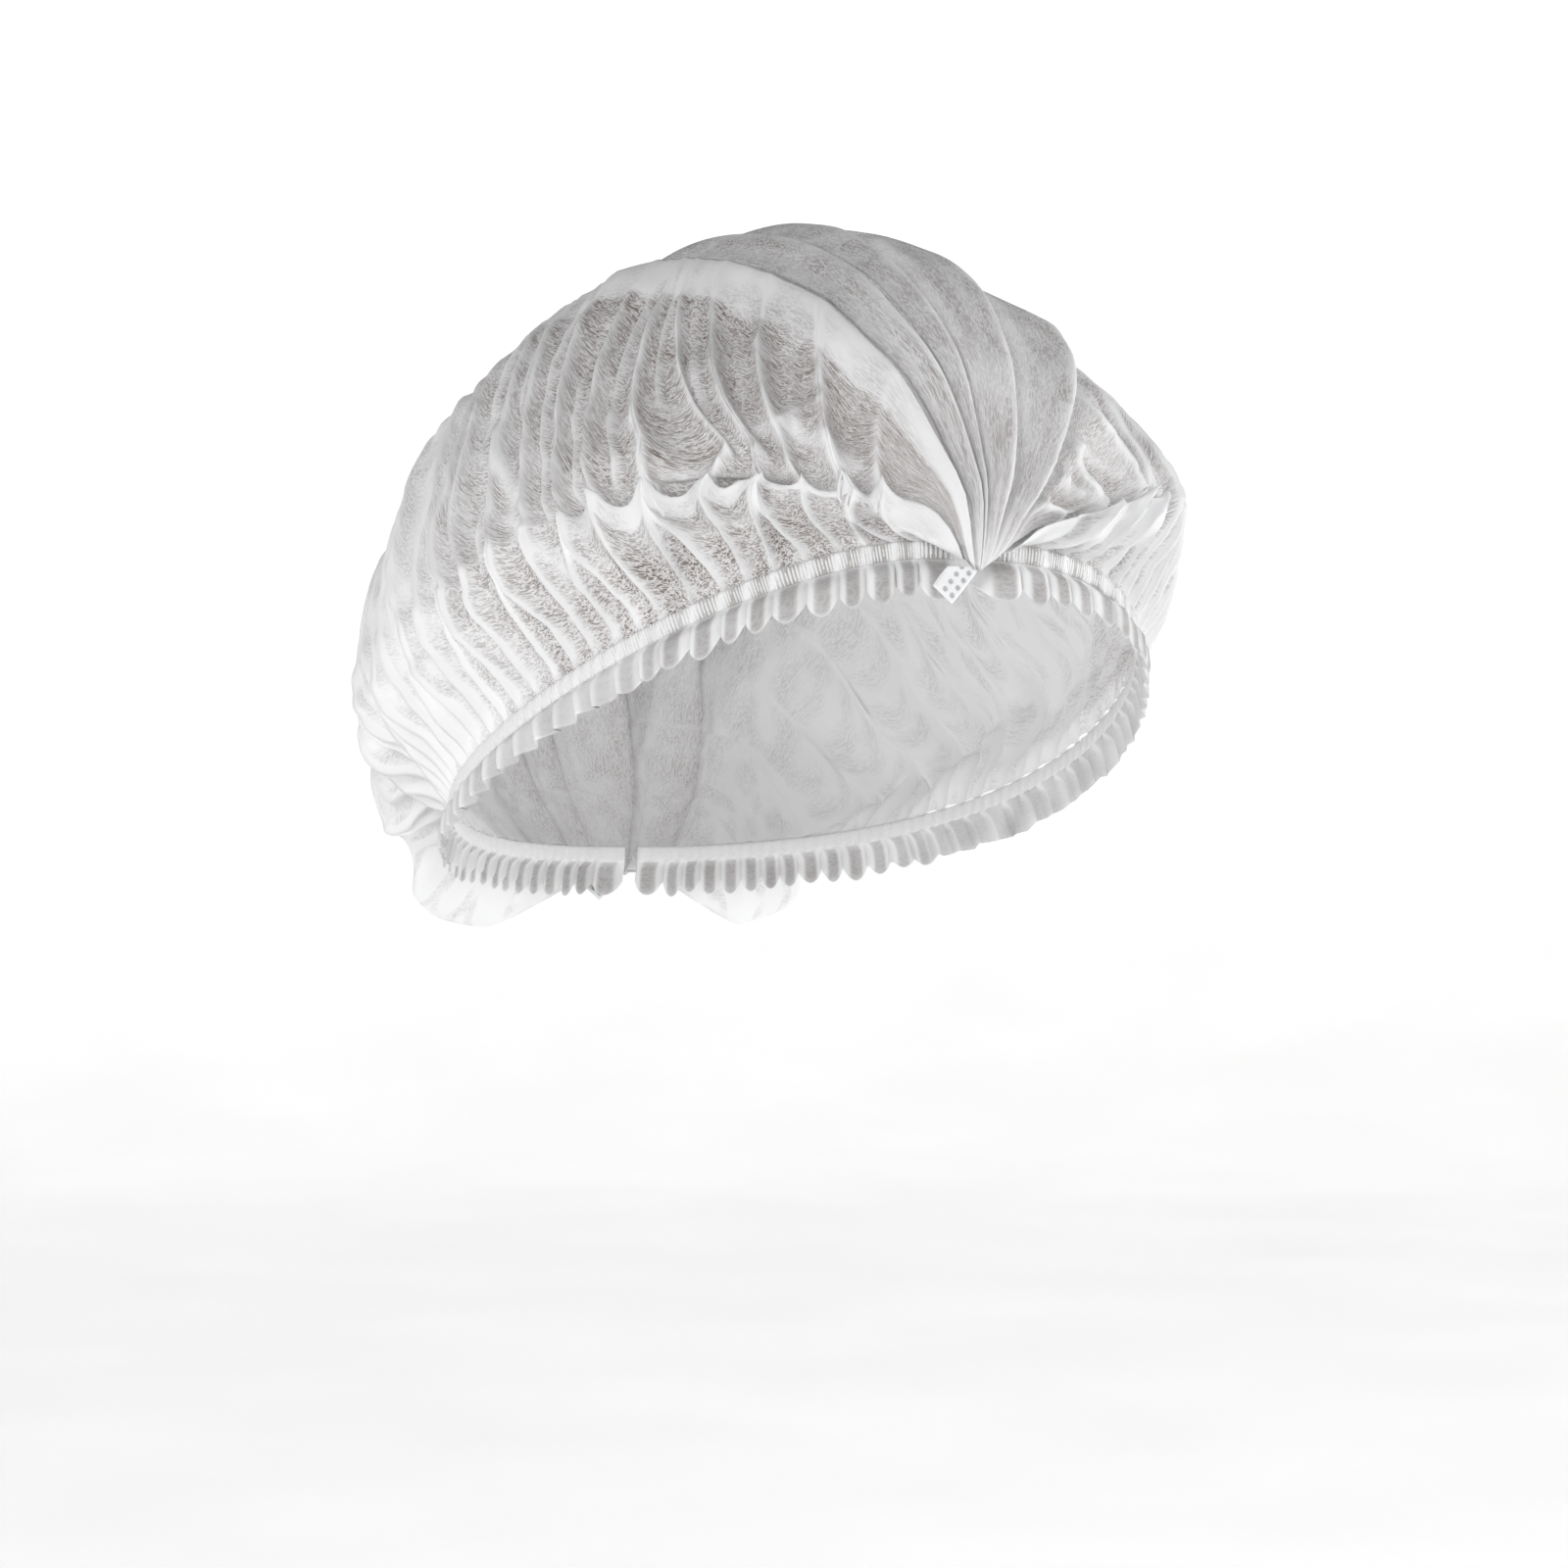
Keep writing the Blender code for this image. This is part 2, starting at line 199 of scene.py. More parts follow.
@dataclass(frozen=True)
class CapBag:
    """The smooth bag of the crown, before its folds and gathers."""

    opening: CapOpening = field(default_factory=CapOpening)
    height: float = 0.124
    overhang: float = 0.030
    weld_fall: float = 0.007
    weld_fall_reach: float = 0.05
    belly_start: float = 0.13
    droop_reach: float = 0.34
    tuck: float = 0.0016
    probe: float = 0.002

    # Sections from the front weld to the back weld. along: place between the welds, lean: forward or
    # backward lean in degrees, rise: share of height, overhang: share of overhang, belly: height of
    # the widest place as a share of the rise, start: angle at the elastic in degrees, droop: share of
    # height, point: 1 for a round top, more for a pointed one
    columns: tuple[str, ...] = ("along", "lean", "rise", "overhang", "belly", "start", "droop", "point")
    sections: tuple[tuple[float, ...], ...] = (
        (0.00, -92.0, 0.050, 0.03, 0.50, 60.0, 0.00, 1.20),
        (0.03, -60.0, 0.075, 0.08, 0.50, 60.0, 0.00, 1.25),
        (0.10, -26.0, 0.170, 0.15, 0.50, 65.0, 0.00, 1.30),
        (0.20, -12.0, 0.440, 0.27, 0.42, 68.0, 0.00, 1.38),
        (0.30, -3.0, 0.700, 0.40, 0.34, 68.0, 0.00, 1.38),
        (0.40, 0.5, 0.885, 0.46, 0.30, 60.0, 0.01, 1.30),
        (0.50, 4.0, 0.995, 0.52, 0.28, 58.0, 0.03, 1.18),
        (0.60, 12.0, 1.005, 0.60, 0.28, 54.0, 0.06, 1.05),
        (0.70, 24.0, 0.870, 0.66, 0.30, 50.0, 0.10, 1.00),
        (0.80, 42.0, 0.580, 0.68, 0.34, 48.0, 0.16, 0.95),
        (0.90, 80.0, 0.290, 0.75, 0.45, 48.0, 0.19, 0.90),
        (0.95, 100.0, 0.180, 0.55, 0.50, 52.0, 0.15, 1.00),
        (1.00, 92.0, 0.050, 0.03, 0.50, 60.0, 0.00, 1.20),
    )

    def column(self, name: str, along: np.ndarray) -> np.ndarray:
        """Read one column of the section table as a smooth curve along the cap.

        Args:
            name: The column's name.
            along: Shares of the way between the welds.

        Returns:
            The column's value at each place.
        """
        rows = np.array(self.sections)
        places, values = rows[:, 0], rows[:, self.columns.index(name)]
        steps = np.diff(places)
        rises = np.diff(values) / steps
        slopes = np.empty_like(values)
        slopes[1:-1] = (rises[:-1] * steps[1:] + rises[1:] * steps[:-1]) / (steps[1:] + steps[:-1])
        slopes[0], slopes[-1] = rises[0], rises[-1]
        k = np.clip(np.searchsorted(places, along, side="right") - 1, 0, len(places) - 2)
        t = (along - places[k]) / steps[k]
        return hermite(values[k], slopes[k] * steps[k], values[k + 1], slopes[k + 1] * steps[k], t)

    def point(self, along: np.ndarray, across: np.ndarray) -> np.ndarray:
        """Find points on the smooth bag.

        Args:
            along: Shares of the way from the front weld to the back weld.
            across: Shares of the way from the right elastic to the left elastic.

        Returns:
            Points in metres, with a last axis of three.
        """
        half = self.opening.half(along)
        edge = np.minimum(across, 1.0 - across)
        side = np.where(across < 0.5, -1.0, 1.0)
        angle = np.radians(self.column("start", along))
        lean = np.radians(self.column("lean", along))
        rise = self.height * self.column("rise", along)
        width = half + self.overhang * self.column("overhang", along)
        belly = rise * self.column("belly", along)
        power = self.column("point", along)
        reach = np.hypot(width - half, belly)
        low = np.clip(edge / self.belly_start, 0.0, 1.0)
        turn = 0.5 * np.pi * np.clip((edge - self.belly_start) / (0.5 - self.belly_start), 0.0, 1.0)
        is_low = edge < self.belly_start
        x = np.where(
            is_low,
            hermite(half, reach * np.cos(angle), width, 0.0, low),
            width * np.maximum(np.cos(turn), 0.0) ** power,
        )
        height = np.where(
            is_low,
            hermite(0.0, reach * np.sin(angle), belly, reach, low),
            belly + (rise - belly) * np.sin(turn) ** power,
        )
        droop = self.height * self.column("droop", along)
        fall = droop * np.sin(np.pi * np.minimum(edge / self.droop_reach, 1.0)) ** 2
        fall = fall + self.weld_fall * bell(from_weld(along), self.weld_fall_reach) * (height / rise) ** 2
        return np.stack([
            self.opening.middle(along) + side * x,
            self.opening.y(along) + height * np.sin(lean),
            self.opening.z(along) + self.tuck + height * np.cos(lean) - fall,
        ], axis=-1)

    def slopes(self, along: np.ndarray, across: np.ndarray) -> tuple[np.ndarray, np.ndarray]:
        """Find how the bag's points change from place to place.

        Args:
            along: Shares of the way from the front weld to the back weld.
            across: Shares of the way from the right elastic to the left elastic.

        Returns:
            The change in metres for a step of 1 along, and for a step of 1 across.
        """
        before, after = np.clip(along - self.probe, 0.0, 1.0), np.clip(along + self.probe, 0.0, 1.0)
        right, left = np.clip(across - self.probe, 0.0, 1.0), np.clip(across + self.probe, 0.0, 1.0)
        way_along = (self.point(after, across) - self.point(before, across)) / (after - before)[..., None]
        way_across = (self.point(along, left) - self.point(along, right)) / (left - right)[..., None]
        return way_along, way_across


@dataclass(frozen=True)
class KnifePleat:
    """One lengthwise pleat: the sheet runs up to its crest, back under itself and on again.

    Its crest lies at weld near the welds and at crown between them, and overlap is how far the sheet
    runs back, all as shares across the cap. Proud and deep are heights in metres above and below the
    smooth bag, and rows is how many rows of the mesh lead on to the next pleat.
    """

    weld: float
    crown: float
    overlap: float
    proud: float
    deep: float
    rows: int
    seed: int
    fan_reach: float = 0.24
    wander: float = 0.0035
    wander_waves: float = 9.0

    def crest(self, along: np.ndarray) -> np.ndarray:
        """Find the place of the crest across the cap, which wanders a little.

        Args:
            along: Shares of the way between the welds.

        Returns:
            Shares of the way across.
        """
        fan = ramp(from_weld(along), 0.0, self.fan_reach)
        hills = soft_noise(along * self.wander_waves, np.full_like(along, 0.5), self.seed)
        return self.weld + (self.crown - self.weld) * fan + self.wander * hills * fan


@dataclass
class GatherLines:
    """Crest lines that run up the cloth from the elastic, with the cloth hanging slack between them.

    Threads are counted from the front weld, one for each space between two lines. Heights are shares
    of the way across, counted from the nearer elastic. Each pair of settling and closing is a height
    at which something begins and the reach over which it grows.
    """

    spaces: int
    seed: int
    low_slant: float
    high_slant: float
    samples: int = 60
    top: float = 0.42
    slant_rise: float = 0.145
    slant_start: float = 0.14
    slant_end: float = 0.8
    merged: int = 3
    closed_share: float = 0.05
    closing: tuple[float, float] = (0.030, 0.075)
    settling: tuple[float, float] = (0.11, 0.13)
    low_drift: float = 0.20
    added_drift: float = 0.75
    drift_waves: tuple[tuple[float, float], ...] = ((5.0, 0.75), (11.0, 0.45))
    hill_step: float = 1.7
    hill_start: float = 0.3
    least_share: float = 0.30
    uneven: tuple[float, float] = (0.88, 1.12)
    weak: float = 0.70
    front_spread: float = 0.32
    front_spaces: float = 9.0
    rounds: int = 14

    def __post_init__(self) -> None:
        """Lay the lines out from the elastic upwards, where every third space closes at the hem fold."""
        rng = np.random.default_rng(self.seed)
        levels = np.linspace(0.0, self.top, self.samples)
        index = np.arange(self.spaces)
        drift = np.zeros((self.spaces, self.samples))
        for wave, share in self.drift_waves:
            drift += share * np.stack([
                soft_noise(
                    levels * wave, np.full(self.samples, self.hill_step * k + self.hill_start),
                    self.seed + int(wave),
                )
                for k in index
            ])
        drift_share = self.low_drift + self.added_drift * ramp(levels, *self.settling)
        free = np.maximum(1.0 + drift * drift_share, self.least_share)
        closed = (index % self.merged == self.merged - 1)[:, None]
        gaps = np.where(closed, 1.0 - (1.0 - self.closed_share) * ramp(levels, *self.closing), free)
        gaps *= rng.uniform(*self.uneven, (self.spaces, 1))
        gaps *= 1.0 + self.front_spread * bell(index[:, None], self.front_spaces)
        lines = np.cumsum(gaps, axis=0) / gaps.sum(axis=0)
        self.lines = np.vstack([np.zeros(self.samples), lines])
        self.strength = rng.uniform(self.weak, 1.0, self.spaces + 1)

    def edges_at_elastic(self) -> np.ndarray:
        """Ends of the spaces at the elastic, from the front weld to the back weld."""
        return self.lines[:, 0]

    def shift(self, along: np.ndarray, height: np.ndarray) -> np.ndarray:
        """Find how far the lines have moved towards the back at a height above the elastic.

        Args:
            along: Shares of the way between the welds.
            height: Heights above the nearer elastic.

        Returns:
            The way that they have moved, as a share of the way between the welds.
        """
        rise = self.low_slant * ramp(height, 0.0, self.slant_rise)
        rise = rise + self.high_slant * np.maximum(height - self.slant_start, 0.0)
        return rise * np.sin(np.pi * np.clip(along / self.slant_end, 0.0, 1.0))

    def read(
        self, thread: np.ndarray, height: np.ndarray,
    ) -> tuple[np.ndarray, np.ndarray, np.ndarray, np.ndarray]:
        """Find where a thread lies between the crest lines.

        Args:
            thread: Threads counted from the front weld, one number for each crest line.
            height: Heights above the nearer elastic.

        Returns:
            The place between its two crest lines from 0 to 1, the place along the cap before the slant,
            the share of the way between the welds that lies between the lines, and how strong the
            nearer line is.
        """
        thread, height = np.broadcast_arrays(thread, height)
        level = np.clip(height, 0.0, self.top) / self.top * (self.samples - 1)
        low = np.minimum(level.astype(int), self.samples - 2)
        part = level - low
        space = np.minimum(thread.astype(int), self.spaces - 1)
        place = thread - space
        start = self.lines[space, low] * (1 - part) + self.lines[space, low + 1] * part
        end = self.lines[space + 1, low] * (1 - part) + self.lines[space + 1, low + 1] * part
        return place, start + (end - start) * place, end - start, self.strength[space + (place > 0.5)]

    def follow(self, thread: np.ndarray, height: np.ndarray) -> np.ndarray:
        """Follow threads up the cloth.

        Args:
            thread: Threads counted from the front weld, one number for each crest line.
            height: Heights above the nearer elastic.

        Returns:
            Their places along the cap at those heights.
        """
        _, straight, _, _ = self.read(thread, height)
        along = straight
        for _ in range(self.rounds):
            along = straight + self.shift(along, height)
        return along


@dataclass(frozen=True)
class Crease:
    """A ridge or hollow that crosses the gathers.

    Its points are shares along and across, its width and height are in metres, and its white is
    what it adds to the look of the cloth: more than 0 on a ridge, partly folded cloth and partly
    painted highlight, and less than 0 in a hollow, where it is painted shade.
    """

    points: tuple[tuple[float, float], ...]
    width: float
    height: float
    white: float

    def share(
        self, along: np.ndarray, across: np.ndarray, metres: np.ndarray, span: np.ndarray,
    ) -> np.ndarray:
        """Find how close each place is to the crease.

        Args:
            along: Shares of the way between the welds.
            across: Shares of the way from elastic to elastic.
            metres: Length of a step of 1 along, in metres.
            span: Length of a step of 1 across, in metres.

        Returns:
            1 on the crease, falling to 0 away from it.
        """
        nearest = np.full(along.shape, np.inf)
        for (a0, c0), (a1, c1) in zip(self.points, self.points[1:]):
            run, rise = (a1 - a0) * metres, (c1 - c0) * span
            ahead, aside = (along - a0) * metres, (across - c0) * span
            t = np.clip((run * ahead + rise * aside) / np.maximum(run**2 + rise**2, 1e-12), 0.0, 1.0)
            nearest = np.minimum(nearest, np.hypot(ahead - t * run, aside - t * rise))
        return bell(nearest, self.width)


def make_mesh(
    name: str, points: np.ndarray, uv: np.ndarray, marks: dict[str, np.ndarray],
) -> bpy.types.Object:
    """Make a grid of points into a sheet of quads.

    Args:
        name: Name of the object.
        points: Rows and columns of points, in metres.
        uv: Flat place of each point on the cut cloth, in metres.
        marks: Named values for each point, which the materials read.

    Returns:
        The new object, linked to the scene.
    """
    rows, columns = points.shape[:2]
    index = np.arange(rows * columns).reshape(rows, columns)
    corners = [index[1:, :-1], index[1:, 1:], index[:-1, 1:], index[:-1, :-1]]
    quads = np.stack(corners, axis=-1).reshape(-1, 4)
    mesh = bpy.data.meshes.new(name)
    mesh.from_pydata(points.reshape(-1, 3).tolist(), [], quads.tolist())
    layer = mesh.uv_layers.new(name="flat")
    loops = np.empty(len(mesh.loops), int)
    mesh.loops.foreach_get("vertex_index", loops)
    layer.data.foreach_set("uv", uv.reshape(-1, 2)[loops].ravel().astype(np.float32))
    for mark, values in marks.items():
        attribute = mesh.attributes.new(mark, "FLOAT", "POINT")
        attribute.data.foreach_set("value", values.ravel().astype(np.float32))
    mesh.shade_smooth()
    return link_mesh(mesh)


def link_mesh(mesh: bpy.types.Mesh) -> bpy.types.Object:
    """Link a mesh to the scene in an object of the same name."""
    item = bpy.data.objects.new(mesh.name, mesh)
    bpy.context.scene.collection.objects.link(item)
    return item


def path_length(points: np.ndarray) -> np.ndarray:
    """Length of the way to each point of a path, in metres."""
    return np.concatenate([[0.0], np.cumsum(np.linalg.norm(np.diff(points, axis=0), axis=1))])


def flat_places(length: np.ndarray, fall: np.ndarray) -> np.ndarray:
    """Flat places of a grid, from the length of each column and the fall of each row."""
    return np.stack(np.broadcast_arrays(length[None, :], fall[:, None]), axis=-1)


@dataclass(frozen=True)
class Station:
    """One line that the sheet passes on its way across the cap.

    flat and folded are its place across with the folds laid flat and with the folds made, up is its
    height above the bag, layers is how thick the cloth looks there, with painted shade and painted
    light in it, and weight is how far the fold is made. turn is 0 where the threads follow the right
    gathers and 1 where they follow the left ones.
    """

    row: int
    flat: np.ndarray
    folded: np.ndarray
    up: np.ndarray
    layers: np.ndarray
    weight: np.ndarray
    turn: float


@dataclass
class SheetWalk:
    """A walk across the sheet, which notes the lines that it passes and makes them stations."""

    ones: np.ndarray
    row: int = 0
    fan_start: float = math.inf
    fan_end: float = math.inf
    noted: list[tuple[int, np.ndarray, np.ndarray, np.ndarray]] = field(default_factory=list)
    found: list[Station] = field(default_factory=list)

    def step(self, rows: int, folded: np.ndarray, up: float, layers: np.ndarray | float) -> None:
        """Note the line that lies so many rows on.

        Args:
            rows: Rows from the line before.
            folded: Its place across with the folds made.
            up: Its height above the smooth bag, in metres.
            layers: How thick the cloth looks there, with painted shade and painted light in it, from 0 to 1.
        """
        self.row += rows
        self.noted.append((self.row, folded, up * self.ones, layers * self.ones))

    def open_fan(self, rows: int) -> None:
        """Let the threads turn from the right gathers to the left ones over the rows that follow."""
        self.fan_start, self.fan_end = self.row, self.row + rows

    def turn_at(self, row: int) -> float:
        """How far the threads have turned from the right gathers to the left ones."""
        if row <= self.fan_start:
            return 0.0
        return min((row - self.fan_start) / (self.fan_end - self.fan_start), 1.0)

    def lay_plain(self) -> None:
        """Make the noted lines stations of plain cloth."""
        for row, folded, up, layers in self.noted:
            self.found.append(Station(row, folded, folded, up, layers, self.ones, self.turn_at(row)))
        self.noted.clear()

    def lay_fold(
        self, start: np.ndarray, end: np.ndarray, first: int, weight: np.ndarray,
        plain: np.ndarray | None = None,
    ) -> None:
        """Make the noted lines stations of a fold, whose flat places are spread evenly.

        Args:
            start: Place across where the fold's cloth starts.
            end: Place across where it ends.
            first: Row at which it starts.
            weight: How far the fold is made, from 0 to 1.
            plain: How thick the cloth looks where the fold isn't made, or None for the fold's own look.
        """
        span = max(self.row - first, 1)
        for row, folded, up, layers in self.noted:
            flat = start + (end - start) * (row - first) / span
            shown = layers if plain is None else plain + (layers - plain) * weight
            self.found.append(Station(row, flat, folded, up, shown, weight, self.turn_at(row)))
        self.noted.clear()


@dataclass
class Crown:
    """The one sheet of the bag, with its hem folds, lengthwise pleats and gathers.

    Places and widths on the cloth are shares along or across it, and other sizes are in metres. tip is
    how far the cloth curves round a fold's edge, and change is the width over which its look changes.
    The look of the cloth goes from 0 for one stretched layer to 1 for three layers or more, and it
    also carries painted shade, at the front, on the fan's panels and in hollows, and painted light,
    towards the back and on crest lines and ridges.
    """

    bag: CapBag
    spaces: int = 42
    space_columns: tuple[int, ...] = (13, 12, 10, 8, 7, 6)
    line_pull: float = 0.10
    weld_cover: float = 0.12
    cloth_length: float = 0.53
    cloth_width: float = 0.37
    gather_depth: float = 0.0038
    gather_share: float = 0.46
    crest_width: float = 0.00085
    half_way_width: float = 0.00065
    half_way_start: float = 0.11
    tip: float = 0.0040
    layer_gap: float = 0.0007
    change: float = 0.006
    fold_rows: int = 8
    far_reach: float = 0.055
    soft_start: float = 0.80
    soft_fade: float = 0.08
    soft_rounds: int = 50
    pleats: tuple[KnifePleat, ...] = (
        KnifePleat(0.440, 0.388, 0.030, 0.0030, 0.0034, 10, 100),
        KnifePleat(0.500, 0.434, 0.040, 0.0016, 0.0020, 10, 101),
        KnifePleat(0.522, 0.474, 0.034, 0.0012, 0.0018, 14, 102),
        KnifePleat(0.575, 0.580, 0.062, 0.0018, 0.0020, 14, 103),
        KnifePleat(0.640, 0.662, 0.050, 0.0028, 0.0024, 16, 104),
    )

    # Hem folds. along: place between the welds, crest: the zigzag upper edge across the cap, trough:
    # the hidden lower edge of the inner layers, both from the nearer elastic
    hem_columns: tuple[str, ...] = ("along", "crest", "trough")
    right_hem: tuple[tuple[float, ...], ...] = (
        (0.000, 0.390, 0.010),
        (0.030, 0.372, 0.022),
        (0.060, 0.350, 0.066),
        (0.092, 0.286, 0.098),
        (0.127, 0.190, 0.090),
        (0.159, 0.158, 0.076),
        (0.193, 0.134, 0.066),
        (0.253, 0.126, 0.062),
        (0.310, 0.140, 0.070),
        (0.350, 0.158, 0.085),
        (1.000, 0.158, 0.085),
    )
    left_hem: tuple[tuple[float, ...], ...] = (
        (0.000, 0.260, 0.030),
        (0.060, 0.230, 0.050),
        (0.120, 0.180, 0.052),
        (0.200, 0.150, 0.052),
        (1.000, 0.150, 0.052),
    )
    right_hem_end: tuple[float, float] = (0.300, 0.352)
    left_hem_end: tuple[float, float] = (0.170, 0.230)
    hem_start: float = 0.018
    hem_zigzag: float = 0.034
    zigzag_start: float = 0.05
    zigzag_reach: float = 0.06
    zigzag_power: float = 0.8
    hem_white: float = 0.030
    hem_proud: float = 0.0026
    hem_room: float = 0.30
    hem_rounds: int = 18

    # Slack cloth. Waves along and across the cap, height in metres and seed
    lump_waves: tuple[tuple[float, float, float, int], ...] = (
        (9.0, 7.0, 0.0024, 41),
        (22.0, 15.0, 0.0012, 42),
        (30.0, 70.0, 0.00045, 43),
    )
    lobe_waves: float = 9.5
    lobe_height: float = 0.0030

    creases: tuple[Crease, ...] = (
        Crease(
            ((0.465, 0.250), (0.405, 0.198), (0.373, 0.130), (0.351, 0.103), (0.326, 0.062)),
            0.0022, 0.0014, 0.55,
        ),
        Crease(((0.305, 0.330), (0.285, 0.332), (0.253, 0.328), (0.227, 0.322)), 0.0009, 0.0007, 0.40),
        Crease(((0.209, 0.248), (0.199, 0.266), (0.201, 0.294), (0.197, 0.318)), 0.0009, 0.0007, 0.40),
        Crease(((0.402, 0.254), (0.351, 0.246), (0.303, 0.236)), 0.0009, 0.0006, 0.35),
        Crease(((0.193, 0.272), (0.173, 0.270), (0.157, 0.284), (0.129, 0.282)), 0.0032, 0.0010, 0.60),
        Crease(((0.300, 0.352), (0.253, 0.344), (0.221, 0.326)), 0.0070, -0.0014, -0.30),
        Crease(((0.189, 0.332), (0.161, 0.322), (0.141, 0.316)), 0.0060, -0.0014, -0.30),
        Crease(((0.112, 0.652), (0.112, 0.797), (0.122, 0.880)), 0.0012, 0.0012, 0.35),
        Crease(((0.067, 0.635), (0.072, 0.713), (0.085, 0.790)), 0.0012, 0.0010, 0.35),
        Crease(((0.150, 0.690), (0.165, 0.800), (0.180, 0.900)), 0.0016, 0.0012, 0.35),
        Crease(((0.090, 0.690), (0.092, 0.740)), 0.0030, -0.0016, -0.40),
        Crease(((0.135, 0.700), (0.140, 0.780)), 0.0040, -0.0016, -0.30),
    )

    def __post_init__(self) -> None:
        """Lay out the gathers of both edges."""
        self.right_lines = GatherLines(self.spaces, seed=11, low_slant=0.020, high_slant=0.62)
        self.left_lines = GatherLines(self.spaces, seed=23, low_slant=0.012, high_slant=0.25)

    def hem(self, table: tuple[tuple[float, ...], ...], name: str, along: np.ndarray) -> np.ndarray:
        """Read one column of a hem table along the cap."""
        rows = np.array(table)
        return np.interp(along, rows[:, 0], rows[:, self.hem_columns.index(name)])

    def follow(self, threads: np.ndarray, across: np.ndarray, turn: float) -> np.ndarray:
        """Find the places along the cap of the threads that run across the sheet.

        Args:
            threads: Threads, one number for each crest line.
            across: Shares of the way across.
            turn: 0 to follow the right gathers, 1 to follow the left ones.

        Returns:
            The places along.
        """
        right = self.right_lines.follow(threads, np.clip(across, 0.0, self.pleats[0].crown))
        left = self.left_lines.follow(threads, np.clip(1.0 - across, 0.0, 1.0 - self.pleats[-1].crown))
        return right * (1.0 - turn) + left * turn

    def hem_lines(self, side: Side, threads: np.ndarray) -> tuple[np.ndarray, np.ndarray, np.ndarray]:
        """Find the edges of the hem fold on one side.

        Args:
            side: Which long edge of the sheet.
            threads: Threads, one number for each crest line.

        Returns:
            The fold's zigzag crest and its trough, as shares across from the nearer elastic, and how
            far the fold is made, from 0 to 1.
        """
        right = side is Side.RIGHT
        table = self.right_hem if right else self.left_hem
        start, end = self.right_hem_end if right else self.left_hem_end
        lines = self.right_lines if right else self.left_lines
        along = lines.follow(threads, 0.0 * threads)
        for _ in range(self.hem_rounds):
            along = 0.5 * (along + lines.follow(threads, self.hem(table, "crest", along)))
        weight = ramp(along, end, start - end) * ramp(along, 0.0, self.hem_start)
        crest = self.hem(table, "crest", along)
        trough = self.hem(table, "trough", along)
        place, _, share, _ = lines.read(threads, crest)
        wave = self.hem_zigzag * ramp(along, self.zigzag_start, self.zigzag_reach)
        slack = 4.0 * place * (1.0 - place) * np.minimum(share * self.spaces, 1.0)
        crest = crest + wave * (0.5 - slack**self.zigzag_power)
        trough = trough - 0.6 * wave * (slack - 0.5)
        return crest, trough, weight

    def stations(self, threads: np.ndarray) -> list[Station]:
        """List what the sheet passes on its way across, from the right elastic to the left one.

        Args:
            threads: Threads, one number for each crest line.

        Returns:
            The stations, in the order of their rows.
        """
        ones = np.ones_like(threads)
        turns = np.linspace(0.0, 1.0, len(self.pleats))
        places = [self.follow(threads, pleat.crown * ones, turn) for pleat, turn in zip(self.pleats, turns)]
        crests = [pleat.crest(place) for pleat, place in zip(self.pleats, places)]
        base = self.right_lines.follow(threads, 0.0 * ones)
        # Painted tone: the cloth looks darker at the front, as painted shade for the inside behind it, and
        # whiter towards the back, as painted light.
        front, back = ramp(base, 0.34, -0.10), ramp(base, 0.34, 0.22)
        thin = 0.08 + 0.66 * back
        upper = 0.12 + 0.16 * (1.0 - front) + 0.57 * back
        walk = SheetWalk(ones)
        self.cross_right_hem(walk, threads, crests[0], thin, upper)
        self.cross_band(walk, crests[0], upper)
        self.cross_pleats(walk, crests, places, back)
        self.cross_left_hem(walk, threads, back)
        return walk.found

    def cross_right_hem(
        self, walk: SheetWalk, threads: np.ndarray, band_crest: np.ndarray, thin: np.ndarray,
        upper: np.ndarray,
    ) -> None:
        """Cross the right hem fold: up its outer layer, back behind it and on up.

        Args:
            walk: The walk, at the right elastic.
            threads: Threads, one number for each crest line.
            band_crest: Crest of the first pleat.
            thin: Look of the cloth just above the elastic.
            upper: Look of the cloth above the fold.
        """
        gap, tip, proud, white = self.layer_gap, self.tip, self.hem_proud, self.hem_white
        crest, trough, weight = self.hem_lines(Side.RIGHT, threads)
        onward = crest + self.hem_room * (band_crest - tip - crest)
        draped = 0.95 * ramp(self.right_lines.follow(threads, crest), 0.125, -0.05)
        walk.step(0, 0.0 * walk.ones, 0.0, thin)
        walk.step(9, trough, 0.4 * proud, thin)
        walk.step(1, trough + self.change, 0.45 * proud, np.maximum(thin + 0.28, draped))
        walk.step(6, crest - white, 0.85 * proud, np.maximum(upper + 0.25, draped))
        walk.step(1, crest - white + self.change, 0.90 * proud, 0.95)
        walk.step(3, crest - tip, proud, 0.95)
        walk.step(2, crest, proud - 0.5 * gap, 1.0)
        walk.step(2, crest - tip, proud - 1.2 * gap, 0.6)
        walk.step(4, trough + 2 * tip, -0.2 * proud, 0.4)
        walk.step(2, trough, -0.2 * proud - 0.6 * gap, 0.4)
        walk.step(2, trough + 2 * tip, -0.2 * proud - 1.4 * gap, 0.4)
        walk.step(6, crest, -0.5 * proud, 0.4)
        walk.step(9, onward, 0.0, upper)
        walk.lay_fold(0.0 * walk.ones, onward, 0, weight, upper)

    def cross_band(self, walk: SheetWalk, band_crest: np.ndarray, upper: np.ndarray) -> None:
        """Cross the gathered cloth above the hem fold, up to the white band of the first pleat.

        Args:
            walk: The walk, at the end of the right hem fold.
            band_crest: Crest of the first pleat.
            upper: Look of the cloth above the fold.
        """
        first = self.pleats[0]
        band_start = band_crest - first.overlap
        slack_end = np.minimum(band_start - self.change, band_crest - 2 * self.tip)
        walk.step(16, slack_end, 0.35 * first.proud, upper)
        walk.step(1, band_start, 0.5 * first.proud, np.maximum(upper, 0.80))
        walk.step(5, band_crest - self.tip, first.proud, 1.0)
        walk.lay_plain()

